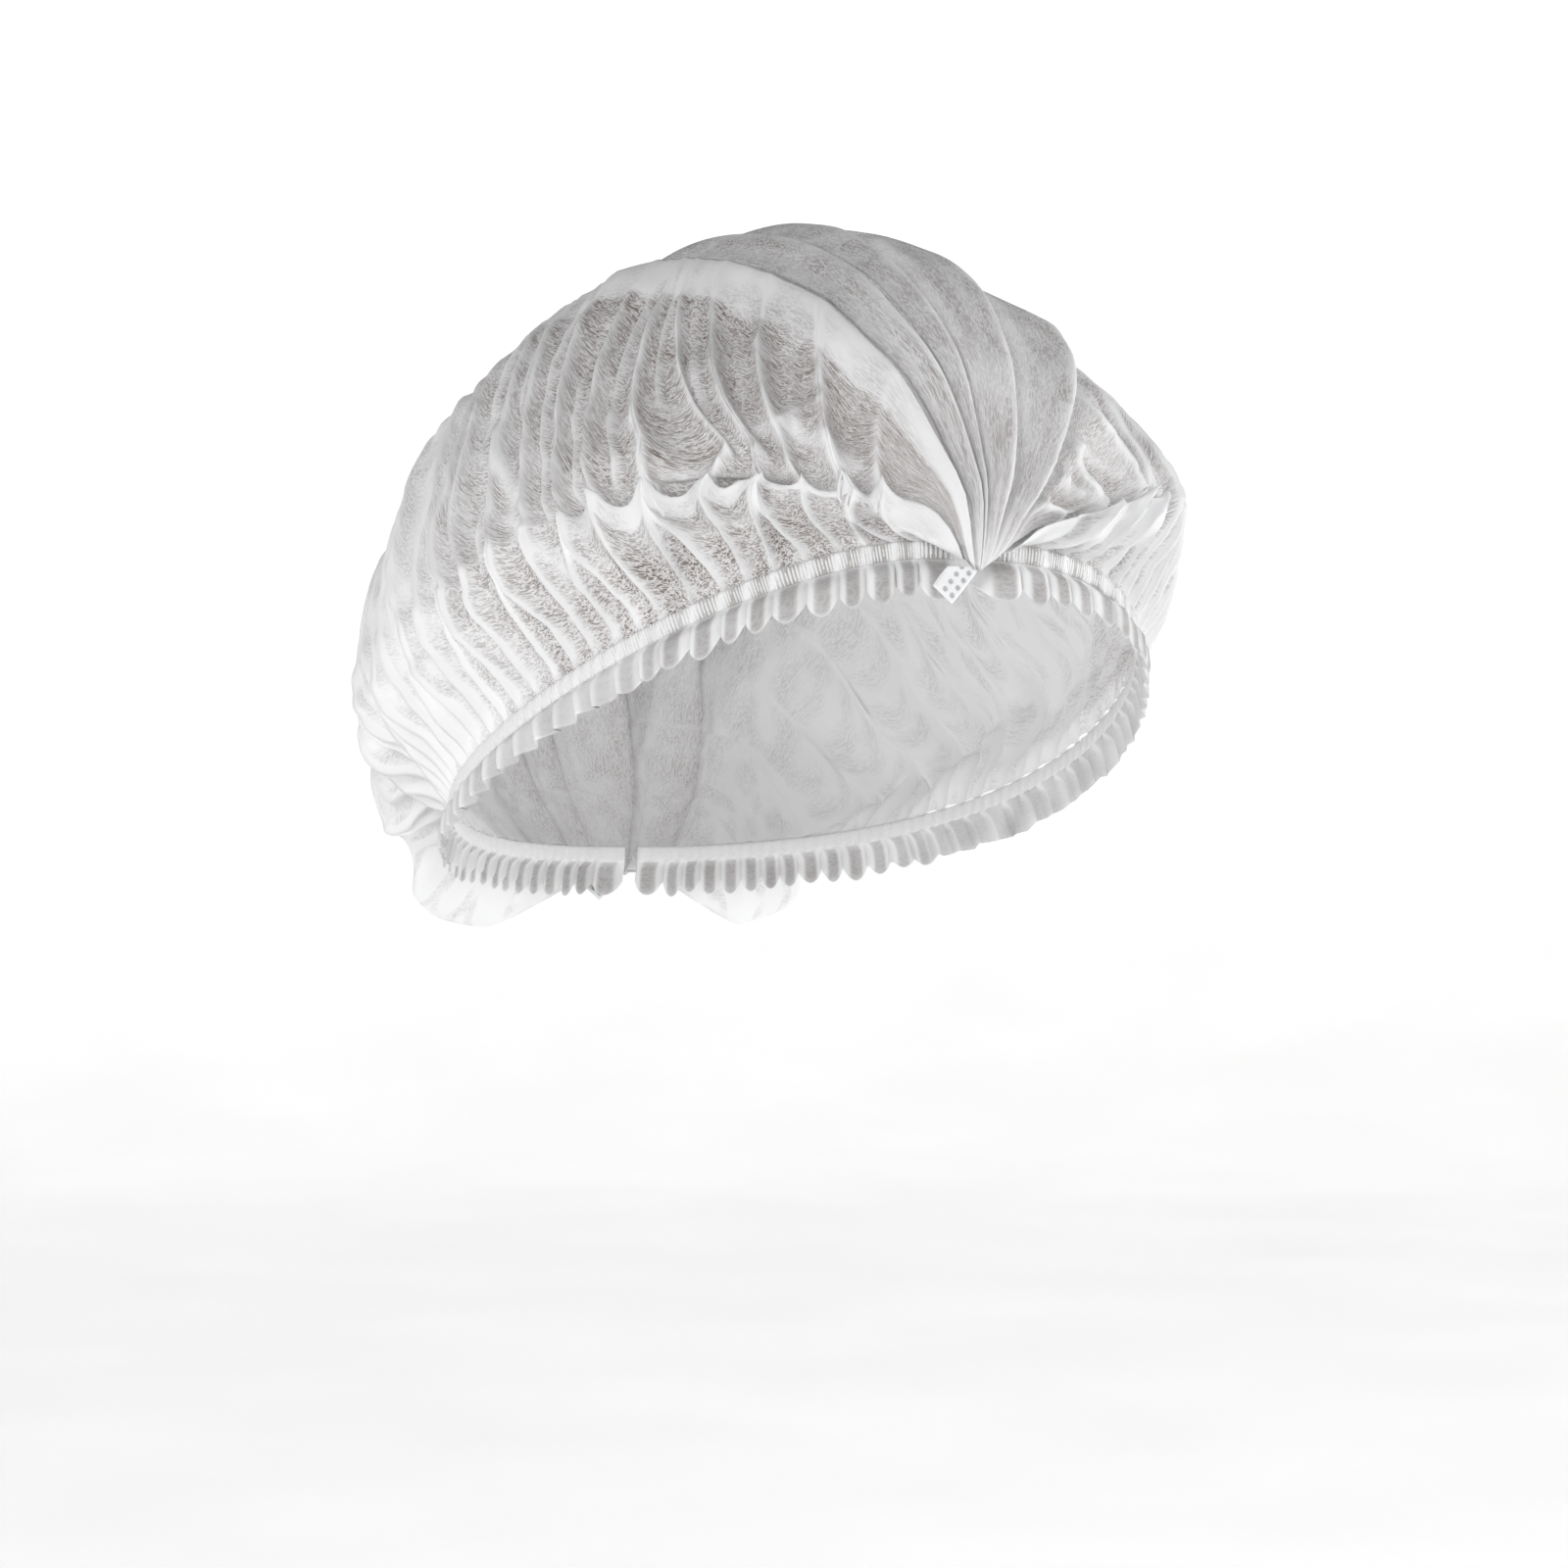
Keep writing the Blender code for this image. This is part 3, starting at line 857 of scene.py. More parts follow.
    def cross_pleats(
        self, walk: SheetWalk, crests: list[np.ndarray], places: list[np.ndarray], back: np.ndarray,
    ) -> None:
        """Cross the fan of lengthwise pleats: round each crest, back under it and on to the next.

        Args:
            walk: The walk, just before the first crest.
            crests: Crests of the pleats, as shares across.
            places: Places of the threads along the cap at each pleat.
            back: 0 at the front of the cap and 1 at its back.
        """
        gap, tip = self.layer_gap, self.tip
        walk.open_fan(sum(pleat.rows + self.fold_rows for pleat in self.pleats))
        for k, pleat in enumerate(self.pleats):
            last = k == len(self.pleats) - 1
            made = 0.25 + 0.75 * ramp(from_weld(places[k]), 0.0, 0.08)
            top, under = crests[k], crests[k] - pleat.overlap
            onward = top + 0.045 if last else crests[k + 1] - tip
            rise = 0.0 if last else self.pleats[k + 1].proud
            # A panel is one layer, darkened further as painted shade on the fan; the last one whitens towards
            # the back as painted light.
            panel = 0.45 + 0.40 * back if last else 0.44
            first = walk.row
            walk.step(1, top, pleat.proud - 0.5 * gap, 1.0)
            walk.step(1, top - tip, pleat.proud - 1.1 * gap, 0.8)
            walk.step(2, under + tip, -0.5 * pleat.deep, 0.7)
            walk.step(1, under, -0.5 * pleat.deep - 0.5 * gap, 0.7)
            walk.step(1, under + tip, -0.5 * pleat.deep - 1.1 * gap, 0.7)
            walk.step(2, top + tip, -pleat.deep, 0.72)
            walk.step(pleat.rows - 3, onward - 0.010, 0.7 * rise, panel)
            walk.step(3, onward, rise, panel if last else 0.95)
            walk.lay_fold(top - tip, onward, first, made)

    def cross_left_hem(self, walk: SheetWalk, threads: np.ndarray, back: np.ndarray) -> None:
        """Cross the far side of the bag and the left hem fold, down to the left elastic.

        Args:
            walk: The walk, past the last pleat.
            threads: Threads, one number for each crest line.
            back: 0 at the front of the cap and 1 at its back.
        """
        gap, tip, proud = self.layer_gap, self.tip, self.hem_proud
        crest, trough, weight = self.hem_lines(Side.LEFT, threads)
        crest, trough = 1.0 - crest, 1.0 - trough
        start = crest - self.far_reach
        # The far side is darker at the front as painted shade and whiter towards the back as painted light.
        far, low = 0.42 + 0.45 * back, 0.3 + 0.4 * back
        walk.step(8, start, 0.0, far)
        walk.lay_plain()
        first = walk.row
        walk.step(6, crest, -0.5 * proud, 0.5)
        walk.step(4, trough - 2 * tip, -0.2 * proud - 1.4 * gap, 0.5)
        walk.step(1, trough, -0.2 * proud - 0.6 * gap, 0.5)
        walk.step(1, trough - 2 * tip, -0.2 * proud, 0.5)
        walk.step(4, crest + 2 * tip, proud - 1.2 * gap, 0.7)
        walk.step(1, crest, proud - 0.5 * gap, 1.0)
        walk.step(2, crest + 2 * tip, proud, 0.95)
        walk.step(7, trough - self.change, 0.5 * proud, 0.80)
        walk.step(1, trough, 0.45 * proud, low)
        walk.step(6, walk.ones, 0.0, low)
        walk.lay_fold(start, walk.ones, first, weight, far)

    def lay_rows(self, threads: np.ndarray) -> tuple[np.ndarray, np.ndarray, np.ndarray, np.ndarray]:
        """Spread the sheet's rows between its stations.

        Args:
            threads: Threads, one number for each crest line.

        Returns:
            The places along and across, the height above the bag and the look of the layers at each
            row and column.
        """
        stations = self.stations(threads)
        rows = np.array([station.row for station in stations])
        wanted = np.arange(rows[-1] + 1)

        def spread(values: list[np.ndarray]) -> np.ndarray:
            """Read values at every row, straight between the stations."""
            table = np.stack(values)
            return np.stack([np.interp(wanted, rows, table[:, c]) for c in range(len(threads))], axis=1)

        crossed = [s.flat + (s.folded - s.flat) * s.weight for s in stations]
        along = spread([self.follow(threads, place, s.turn) for place, s in zip(crossed, stations)])
        across = spread(crossed)
        up = spread([s.up * s.weight for s in stations])
        layers = spread([s.layers for s in stations])
        for grid in (along, across, up):
            grid[1:-1] = 0.25 * grid[:-2] + 0.5 * grid[1:-1] + 0.25 * grid[2:]
        return along, across, up, layers

    def gather_fullness(self, along: np.ndarray, edge: np.ndarray, fan: float) -> np.ndarray:
        """Find how fully the gathers are made.

        Args:
            along: Shares of the way between the welds.
            edge: Heights above the nearer elastic.
            fan: Height at which the fan of pleats starts.

        Returns:
            Shares from 0 to 1, less at the elastic, at the fan, at the welds and on the slack back.
        """
        at_elastic = 0.30 + 0.70 * ramp(edge, 0.0, 0.02)
        at_fan = 1.0 - 0.85 * ramp(edge, fan - 0.055, 0.05)
        at_back = 1.0 - 0.65 * ramp(along, 0.46, 0.16) * ramp(edge, 0.08, 0.10)
        below_fan = np.where(edge < fan + 0.004, at_elastic * at_fan, 0.0)
        return below_fan * ramp(from_weld(along), 0.0, 0.06) * at_back

    def side_gathers(
        self, lines: GatherLines, threads: np.ndarray, along: np.ndarray, edge: np.ndarray,
        metres: np.ndarray, fan: float,
    ) -> tuple[np.ndarray, np.ndarray]:
        """Hang the cloth slack between the crest lines of one side.

        Args:
            lines: The crest lines of this side.
            threads: Threads, one number for each crest line.
            along: Shares of the way between the welds.
            edge: Heights above this side's elastic.
            metres: Length of a step of 1 along, in metres.
            fan: Height at which the fan of pleats starts.

        Returns:
            How far the cloth hangs below the bag in metres, and a mark that is 1 on a crest line.
        """
        place, _, share, strength = lines.read(threads, edge)
        width = share * metres
        reach = self.gather_fullness(along, edge, fan)
        uneven = 1.0 + 0.35 * soft_noise(along * 31.0, edge * 13.0, lines.seed + 3)
        depth = np.minimum(self.gather_share * width, self.gather_depth) * reach * uneven
        half_way = np.abs(place - 0.5) * width
        hills = soft_noise(np.floor(threads) * 1.37 + 0.0 * edge, edge * 9.0, lines.seed + 9)
        there = smooth_step(hills / 0.4 + 0.6)
        there = there * ramp(edge, self.half_way_start, 0.06) * ramp(width, 0.003, 0.003)
        held = 1.0 - 0.55 * (there * bell(half_way, 0.0011))
        hang = depth * (4.0 * place * (1.0 - place)) ** 0.85 * held
        near = np.minimum(place, 1.0 - place) * width
        foot = 1.0 + 0.7 * ramp(edge, 0.05, -0.05)
        fresh = strength * (0.85 + 0.35 * soft_noise(along * 17.0, edge * 21.0, lines.seed + 5))
        fresh = np.clip(fresh + 0.5 * ramp(edge, 0.16, -0.06), 0.0, 1.0)
        shown = np.minimum(reach * 1.3, 1.0)
        main = bell(near, self.crest_width * foot) * shown * fresh
        between = there * bell(half_way, self.half_way_width) * 0.75 * shown
        return hang, np.maximum(main, between)

    def gathers(
        self, threads: np.ndarray, along: np.ndarray, across: np.ndarray, metres: np.ndarray,
    ) -> tuple[np.ndarray, np.ndarray]:
        """Find the heights of the gathers and how close each place is to a crest line.

        Args:
            threads: Threads, one number for each crest line.
            along: Shares of the way between the welds.
            across: Shares of the way from elastic to elastic.
            metres: Length of a step of 1 along, in metres.

        Returns:
            The height above the bag in metres, and a mark that is 1 on a crest line.
        """
        right_fan, left_fan = self.pleats[0].crown, 1.0 - self.pleats[-1].crown
        right, right_crest = self.side_gathers(self.right_lines, threads, along, across, metres, right_fan)
        left, left_crest = self.side_gathers(self.left_lines, threads, along, 1.0 - across, metres, left_fan)
        return -right - left, np.maximum(right_crest, left_crest)

    def lumps(self, along: np.ndarray, across: np.ndarray) -> np.ndarray:
        """Find the heights of the broad lumps and dents of slack cloth.

        Args:
            along: Shares of the way between the welds.
            across: Shares of the way from elastic to elastic.

        Returns:
            Heights above the bag, in metres.
        """
        hills = sum(
            height * soft_noise(along * waves_along, across * waves_across, seed)
            for waves_along, waves_across, height, seed in self.lump_waves
        )
        turns = along * self.lobe_waves + 0.8 * np.sin(across * 9.0)
        lobes = np.sin(2.0 * np.pi * turns) * self.lobe_height * ramp(along, 0.45, 0.35)
        off_fan = 1.0 - 0.7 * ramp(across, 0.36, 0.03) * ramp(across, 0.69, -0.03)
        edge = np.minimum(across, 1.0 - across)
        held = ramp(edge, 0.0, 0.05) * ramp(from_weld(along), 0.0, 0.12)
        return (hills + lobes) * off_fan * held

    def soften_back(self, points: np.ndarray, along: np.ndarray) -> np.ndarray:
        """Round off the slack lobes that hang over the elastic at the back weld.

        Args:
            points: Rows and columns of points, which are moved.
            along: Their shares of the way between the welds.

        Returns:
            The same points.
        """
        share = ramp(along, self.soft_start, self.soft_fade) * ramp(along, 1.0, -0.03)
        share = share[1:-1, 1:-1, None]
        for _ in range(self.soft_rounds):
            middle = 0.25 * (points[1:-1, :-2] + points[1:-1, 2:] + points[:-2, 1:-1] + points[2:, 1:-1])
            points[1:-1, 1:-1] += 0.5 * share * (middle - points[1:-1, 1:-1])
        return points

    def threads(self) -> np.ndarray:
        """Spread the mesh's columns over the spaces, denser at the front and near the crest lines.

        Returns:
            Threads, one number for each crest line.
        """
        counts = np.repeat(self.space_columns, self.spaces // len(self.space_columns))
        threads = np.concatenate([
            space + np.arange(count) / count - self.line_pull * np.sin(2.0 * np.pi * np.arange(count) / count)
            for space, count in enumerate(counts)
        ])
        threads[0] = self.weld_cover
        return np.append(threads, self.spaces - self.weld_cover)

    def build(self) -> bpy.types.Object:
        """Make the sheet's mesh.

        Returns:
            The crown's object, without its material.
        """
        threads = self.threads()
        along, across, up, layers = self.lay_rows(threads)
        way_along, way_across = self.bag.slopes(along, across)
        metres, span = np.linalg.norm(way_along, axis=-1), np.linalg.norm(way_across, axis=-1)
        gather, crest = self.gathers(threads, along, across, metres)
        out = up + gather + self.lumps(along, across)
        for crease in self.creases:
            share = crease.share(along, across, metres, span)
            out = out + crease.height * share
            # Creases add painted highlight on ridges and painted shade in hollows to the look of the cloth.
            layers = layers + crease.white * share
        calm = np.minimum(1.0, 0.15 + 12.0 * from_weld(along))
        normal = unit(np.cross(way_across, way_along))
        points = self.bag.point(along, across) + normal * (out * calm)[..., None]
        uv = flat_places(along[0] * self.cloth_length, path_length(points[:, len(threads) // 2]))
        points = self.soften_back(points, along)
        layers = np.clip(layers + 0.35 * ramp(along, 0.06, -0.06), 0.0, 1.0)
        return make_mesh("crown_sheet", points, uv, {"crest": crest, "layers": layers})


@dataclass
class Frill:
    """The ruffled hem below one elastic: doubled cloth in round lobes at the front and knife pleats
    at the side.

    Sizes are in metres. The lobes turn into knife pleats from knife_start on, over knife_reach, both
    shares of the way between the welds. uneven holds the shares by which the lobes' length, fullness
    and lean vary.
    """

    opening: CapOpening
    side: Side
    lines: GatherLines
    steps: int = 14
    weld_cover: float = 0.003
    top: float = -0.0019
    height: float = 0.0090
    flare: float = 0.0016
    bulge: float = 0.0026
    notch: float = 0.38
    lean: float = 0.0022
    wall: float = 0.0004
    knife_start: float = 0.22
    knife_reach: float = 0.14
    uneven: tuple[float, ...] = (0.07, 0.20, 0.35)
    outer_levels: tuple[float, ...] = (0.0, 0.05, 0.12, 0.22, 0.34, 0.48, 0.62, 0.76, 0.88, 0.96)
    cloth_length: float = 0.40
    cloth_width: float = 0.018

    def white(self, level: float, place: np.ndarray, knife: np.ndarray) -> np.ndarray:
        """Find how white the doubled cloth looks, with painted highlight and painted shade.

        Args:
            level: Share of the way down the frill.
            place: Places in the lobes, from 0 to 1.
            knife: How far each lobe is a knife pleat.

        Returns:
            The look of the layers: painted highlight on the walls of a lobe and at the folds of a pleat,
                painted shade in a lobe's middle and across the rest of a pleat's panel, and whiter at its
                rim.
        """
        rim = 0.9 * ramp(np.array(level), 0.94, 0.05) + ramp(np.array(level), 0.07, -0.05)
        rim = rim * (1.0 - 0.75 * knife)
        walls = ramp(np.abs(2.0 * place - 1.0), 0.32, 0.34)
        folds = 0.50 + 0.50 * ramp(place, 0.62, 0.25)
        mark = walls * (1.0 - knife) + folds * knife
        return np.clip(np.maximum(mark, rim) * 0.86 + 0.08, 0.0, 1.0)

    def build(self) -> bpy.types.Object:
        """Make the frill's mesh.

        Returns:
            The frill's object, without its material.
        """
        edges = self.lines.edges_at_elastic()
        lobes = len(edges) - 1
        rng = np.random.default_rng(31 if self.side is Side.RIGHT else 37)
        turn = np.arange(lobes * self.steps + 1) / self.steps
        lobe = np.minimum(turn.astype(int), lobes - 1)
        place = turn - lobe
        along = edges[lobe] + (edges[lobe + 1] - edges[lobe]) * place
        along = self.weld_cover + (1.0 - 2.0 * self.weld_cover) * along
        long, full, skew = (rng.uniform(1.0 - s, 1.0 + s, lobes)[lobe] for s in self.uneven)
        knife = ramp(from_weld(along), self.knife_start, self.knife_reach)
        arch = np.sqrt(np.maximum(1.0 - (2.0 * place - 1.0) ** 2, 0.0))
        bulge = self.bulge * full * (arch * (1.0 - knife) + 0.9 * place**1.4 * knife)
        bulge = bulge * ramp(from_weld(along), 0.0, 0.01)
        lobe_drop = 1.0 - self.notch * np.abs(2.0 * place - 1.0) ** 2.0
        drop = self.height * long * (lobe_drop * (1.0 - knife) + (0.99 - 0.13 * place) * knife)
        outer = list(self.outer_levels)
        levels = np.array(outer + [1.0] + outer[:0:-2] + [0.0])
        depths = np.concatenate([np.zeros(len(outer)), [0.5], np.ones(len(levels) - len(outer) - 1)])
        base = self.opening.point(along, self.side)
        outward = self.opening.outward(along, self.side)
        forward = self.opening.forward(along, self.side)
        rows, layers = [], []
        for level, depth in zip(levels, depths):
            spread = ramp(np.array(level), 0.0, 0.30) * (1.0 - 0.30 * level**4)
            out = self.flare * level + bulge * spread - self.wall * depth
            slide = -self.lean * skew * level * knife
            point = base + outward * out[:, None] + forward * slide[:, None]
            point[:, 2] += self.top - drop * level
            rows.append(point)
            # The look holds the painted highlight and painted shade of the lobes and pleats.
            layers.append(self.white(level, place, knife))
        points, layers = np.stack(rows), np.stack(layers)
        if self.side is Side.RIGHT:
            points, layers = points[::-1], layers[::-1]
        fall = np.cumsum(np.abs(np.diff(levels, prepend=0.0))) * self.height
        uv = flat_places(path_length(points[0]), fall)
        name = f"frill_hem_{self.side.name.lower()}"
        return make_mesh(name, points, uv, {"layers": layers, "crest": np.zeros_like(layers)})


@dataclass
class Elastic:
    """The elastic along one edge, in its casing of crimped cloth. Sizes are in metres."""

    opening: CapOpening
    side: Side
    lines: GatherLines
    half_height: float = 0.0021
    half_thickness: float = 0.00055
    roundness: float = 0.6
    ring: int = 12
    columns: int = 504
    ripple: float = 0.00018
    ripples: float = 84.0
    weld_cover: float = 0.003
    crimps_per_space: int = 9
    crimp_width: float = 0.00080
    crimp_depth: float = 0.00085
    crimp_height: float = 0.0041
    crimp_offset: float = 0.00036
    crimp_fill: float = 0.98
    crimp_parting: float = 0.20
    unevenness: float = 0.10
    seed: int = 5
    probe: float = 1e-3

    def frame_at(self, along: np.ndarray) -> tuple[np.ndarray, np.ndarray, np.ndarray]:
        """Find the band's middle and its directions.

        Args:
            along: Shares of the way between the ends of the band.

        Returns:
            Middle points, outward directions and forward directions.
        """
        along = self.weld_cover + (1.0 - 2.0 * self.weld_cover) * along
        outward = self.opening.outward(along, self.side)
        return self.opening.point(along, self.side), outward, self.opening.forward(along, self.side)

    def metres_at(self, along: np.ndarray) -> np.ndarray:
        """Find how long a step of 1 along the opening is.

        Args:
            along: Shares of the way between the welds.

        Returns:
            Lengths in metres.
        """
        before, after = np.clip(along - self.probe, 0.0, 1.0), np.clip(along + self.probe, 0.0, 1.0)
        change = self.opening.point(after, self.side) - self.opening.point(before, self.side)
        return np.linalg.norm(change / (after - before)[:, None], axis=-1)

    def open_share(self, along: np.ndarray) -> np.ndarray:
        """Find how far the crimps stand apart: most in the middle of each space near the front weld.

        Args:
            along: Shares of the way between the welds.

        Returns:
            Shares from 0 to 1.
        """
        edges = self.lines.edges_at_elastic()
        space = np.clip(np.searchsorted(edges, along, side="right") - 1, 0, len(edges) - 2)
        place = (along - edges[space]) / (edges[space + 1] - edges[space])
        middle = np.maximum(1.0 - np.abs(2.0 * place - 1.0) * 1.08, 0.0)
        front = 1.0 - 0.90 * ramp(along, 0.20, 0.14)
        return smooth_step(middle / 0.70) * front

    def band(self) -> bpy.types.Object:
        """Make the flat casing that goes round the edge.

        Returns:
            The casing's object, without its material.
        """
        along = np.linspace(0.0, 1.0, self.columns + 1)
        middle, outward, _ = self.frame_at(along)
        turn = np.linspace(0.0, 2.0 * np.pi, self.ring + 1)
        up = self.half_height * np.sign(np.sin(turn)) * np.abs(np.sin(turn)) ** self.roundness
        out = self.half_thickness * np.sign(np.cos(turn)) * np.abs(np.cos(turn)) ** self.roundness
        wave = self.ripple * np.sin(2.0 * np.pi * along * self.ripples)
        points = middle[None] + outward[None] * (out[:, None] + wave[None])[..., None]
        points[..., 2] += up[:, None]
        uv = flat_places(path_length(middle), turn * self.half_height)
        # Painted shade for the gaps between the crimps, on the casing's outside, most where the crimps stand
        # apart.
        outside = (np.cos(turn) > 0.3).astype(float)
        slit_shade = outside[:, None] * self.open_share(along)[None, :]
        item = make_mesh(f"elastic_band_{self.side.name.lower()}", points, uv, {"slit_shade": slit_shade})
        edit = bmesh.new()
        edit.from_mesh(item.data)
        bmesh.ops.remove_doubles(edit, verts=edit.verts, dist=1e-6)
        bmesh.ops.holes_fill(edit, edges=[e for e in edit.edges if e.is_boundary], sides=2 * self.ring)
        bmesh.ops.recalc_face_normals(edit, faces=edit.faces)
        edit.to_mesh(item.data)
        edit.free()
        return item

    def crimps(self, tree: bpy.types.NodeTree, finish: bpy.types.Material) -> bpy.types.Object:
        """Set the crimps over the outside of the casing.

        Args:
            tree: Geometry nodes that set one crimp at each point.
            finish: Material of the crimps.

        Returns:
            One plain mesh of all the crimps on this side.
        """
        edges = self.lines.edges_at_elastic()
        count = self.crimps_per_space
        share = (np.arange(count) + 0.5) / count
        along = (edges[:-1, None] + np.diff(edges)[:, None] * share[None, :]).ravel()
        middle, outward, forward = self.frame_at(along)
        pitch = np.repeat(np.diff(edges), count) / count * self.metres_at(along)
        plump = pitch / self.crimp_width * (self.crimp_fill - self.crimp_parting * self.open_share(along))
        name = f"elastic_crimps_{self.side.name.lower()}"
        mesh = bpy.data.meshes.new(name + "_points")
        mesh.from_pydata((middle + outward * self.crimp_offset).tolist(), [], [])
        mesh.attributes.new("forward", "FLOAT_VECTOR", "POINT").data.foreach_set("vector", forward.ravel())
        mesh.attributes.new("plump", "FLOAT", "POINT").data.foreach_set("value", plump)
        carrier = link_mesh(mesh)
        modifier = carrier.modifiers.new("crimps", "NODES")
        modifier.node_group = tree
        values = {
            "Width": self.crimp_width, "Depth": self.crimp_depth, "Height": self.crimp_height,
            "Unevenness": self.unevenness, "Seed": self.seed, "Finish": finish,
        }
        for socket in tree.interface.items_tree:
            if socket.in_out == "INPUT" and socket.name in values:
                modifier[socket.identifier] = values[socket.name]
        depsgraph = bpy.context.evaluated_depsgraph_get()
        made = bpy.data.meshes.new_from_object(carrier.evaluated_get(depsgraph))
        made.name = name
        made.shade_smooth()
        bpy.data.objects.remove(carrier, do_unlink=True)
        return link_mesh(made)


def crimp_tree() -> bpy.types.NodeTree:
    """Build the nodes that set one small crimp at each point, across the band.

    Returns:
        The tree, which reads the points' forward and plump attributes.
    """
    tree = bpy.data.node_groups.new("crimps", "GeometryNodeTree")
    sockets = {
        "Points": "NodeSocketGeometry", "Width": "NodeSocketFloat", "Depth": "NodeSocketFloat",
        "Height": "NodeSocketFloat", "Unevenness": "NodeSocketFloat", "Seed": "NodeSocketInt",
        "Finish": "NodeSocketMaterial",
    }
    for name, kind in sockets.items():
        tree.interface.new_socket(name=name, in_out="INPUT", socket_type=kind)
    tree.interface.new_socket(name="Crimps", in_out="OUTPUT", socket_type="NodeSocketGeometry")
    given = add_node(tree, "NodeGroupInput").outputs
    size = add_node(
        tree, "ShaderNodeCombineXYZ", {}, {"X": given["Width"], "Y": given["Depth"], "Z": given["Height"]},
    )
    ball = add_node(tree, "GeometryNodeMeshUVSphere", {"Segments": 6, "Rings": 5, "Radius": 0.5})
    crimp = add_node(
        tree, "GeometryNodeTransform", {},
        {"Geometry": ball.outputs["Mesh"], "Scale": size.outputs["Vector"]},
    )
    forward = add_node(
        tree, "GeometryNodeInputNamedAttribute", {"data_type": "FLOAT_VECTOR", "Name": "forward"},
    ).outputs["Attribute"]
    plump = add_node(
        tree, "GeometryNodeInputNamedAttribute", {"data_type": "FLOAT", "Name": "plump"},
    ).outputs["Attribute"]
    level = add_node(
        tree, "FunctionNodeAlignRotationToVector", {"axis": "X", "pivot_axis": "Z"}, {"Vector": forward},
    )
    turned = add_node(
        tree, "FunctionNodeAlignRotationToVector", {"axis": "X", "pivot_axis": "Y"},
        {"Rotation": level.outputs["Rotation"], "Vector": forward},
    )
    least = add_node(tree, "ShaderNodeMath", {"operation": "SUBTRACT", 0: 1.0}, {1: given["Unevenness"]})
    most = add_node(tree, "ShaderNodeMath", {"operation": "ADD", 0: 1.0}, {1: given["Unevenness"]})
    chance = add_node(
        tree, "FunctionNodeRandomValue", {"data_type": "FLOAT"},
        {2: least.outputs[0], 3: most.outputs[0], "Seed": given["Seed"]},
    ).outputs[1]
    wide = add_node(tree, "ShaderNodeMath", {"operation": "MULTIPLY"}, {0: plump, 1: chance})
    scale = add_node(tree, "ShaderNodeCombineXYZ", {}, {"X": wide.outputs[0], "Y": chance, "Z": chance})
    placed = add_node(
        tree, "GeometryNodeInstanceOnPoints", {},
        {
            "Points": given["Points"], "Instance": crimp.outputs["Geometry"],
            "Rotation": turned.outputs["Rotation"], "Scale": scale.outputs["Vector"],
        },
    )
    real = add_node(tree, "GeometryNodeRealizeInstances", {}, {0: placed.outputs["Instances"]})
    dressed = add_node(
        tree, "GeometryNodeSetMaterial", {}, {"Geometry": real.outputs[0], "Material": given["Finish"]},
    )
    add_node(tree, "NodeGroupOutput", {}, {0: dressed.outputs["Geometry"]})
    return tree


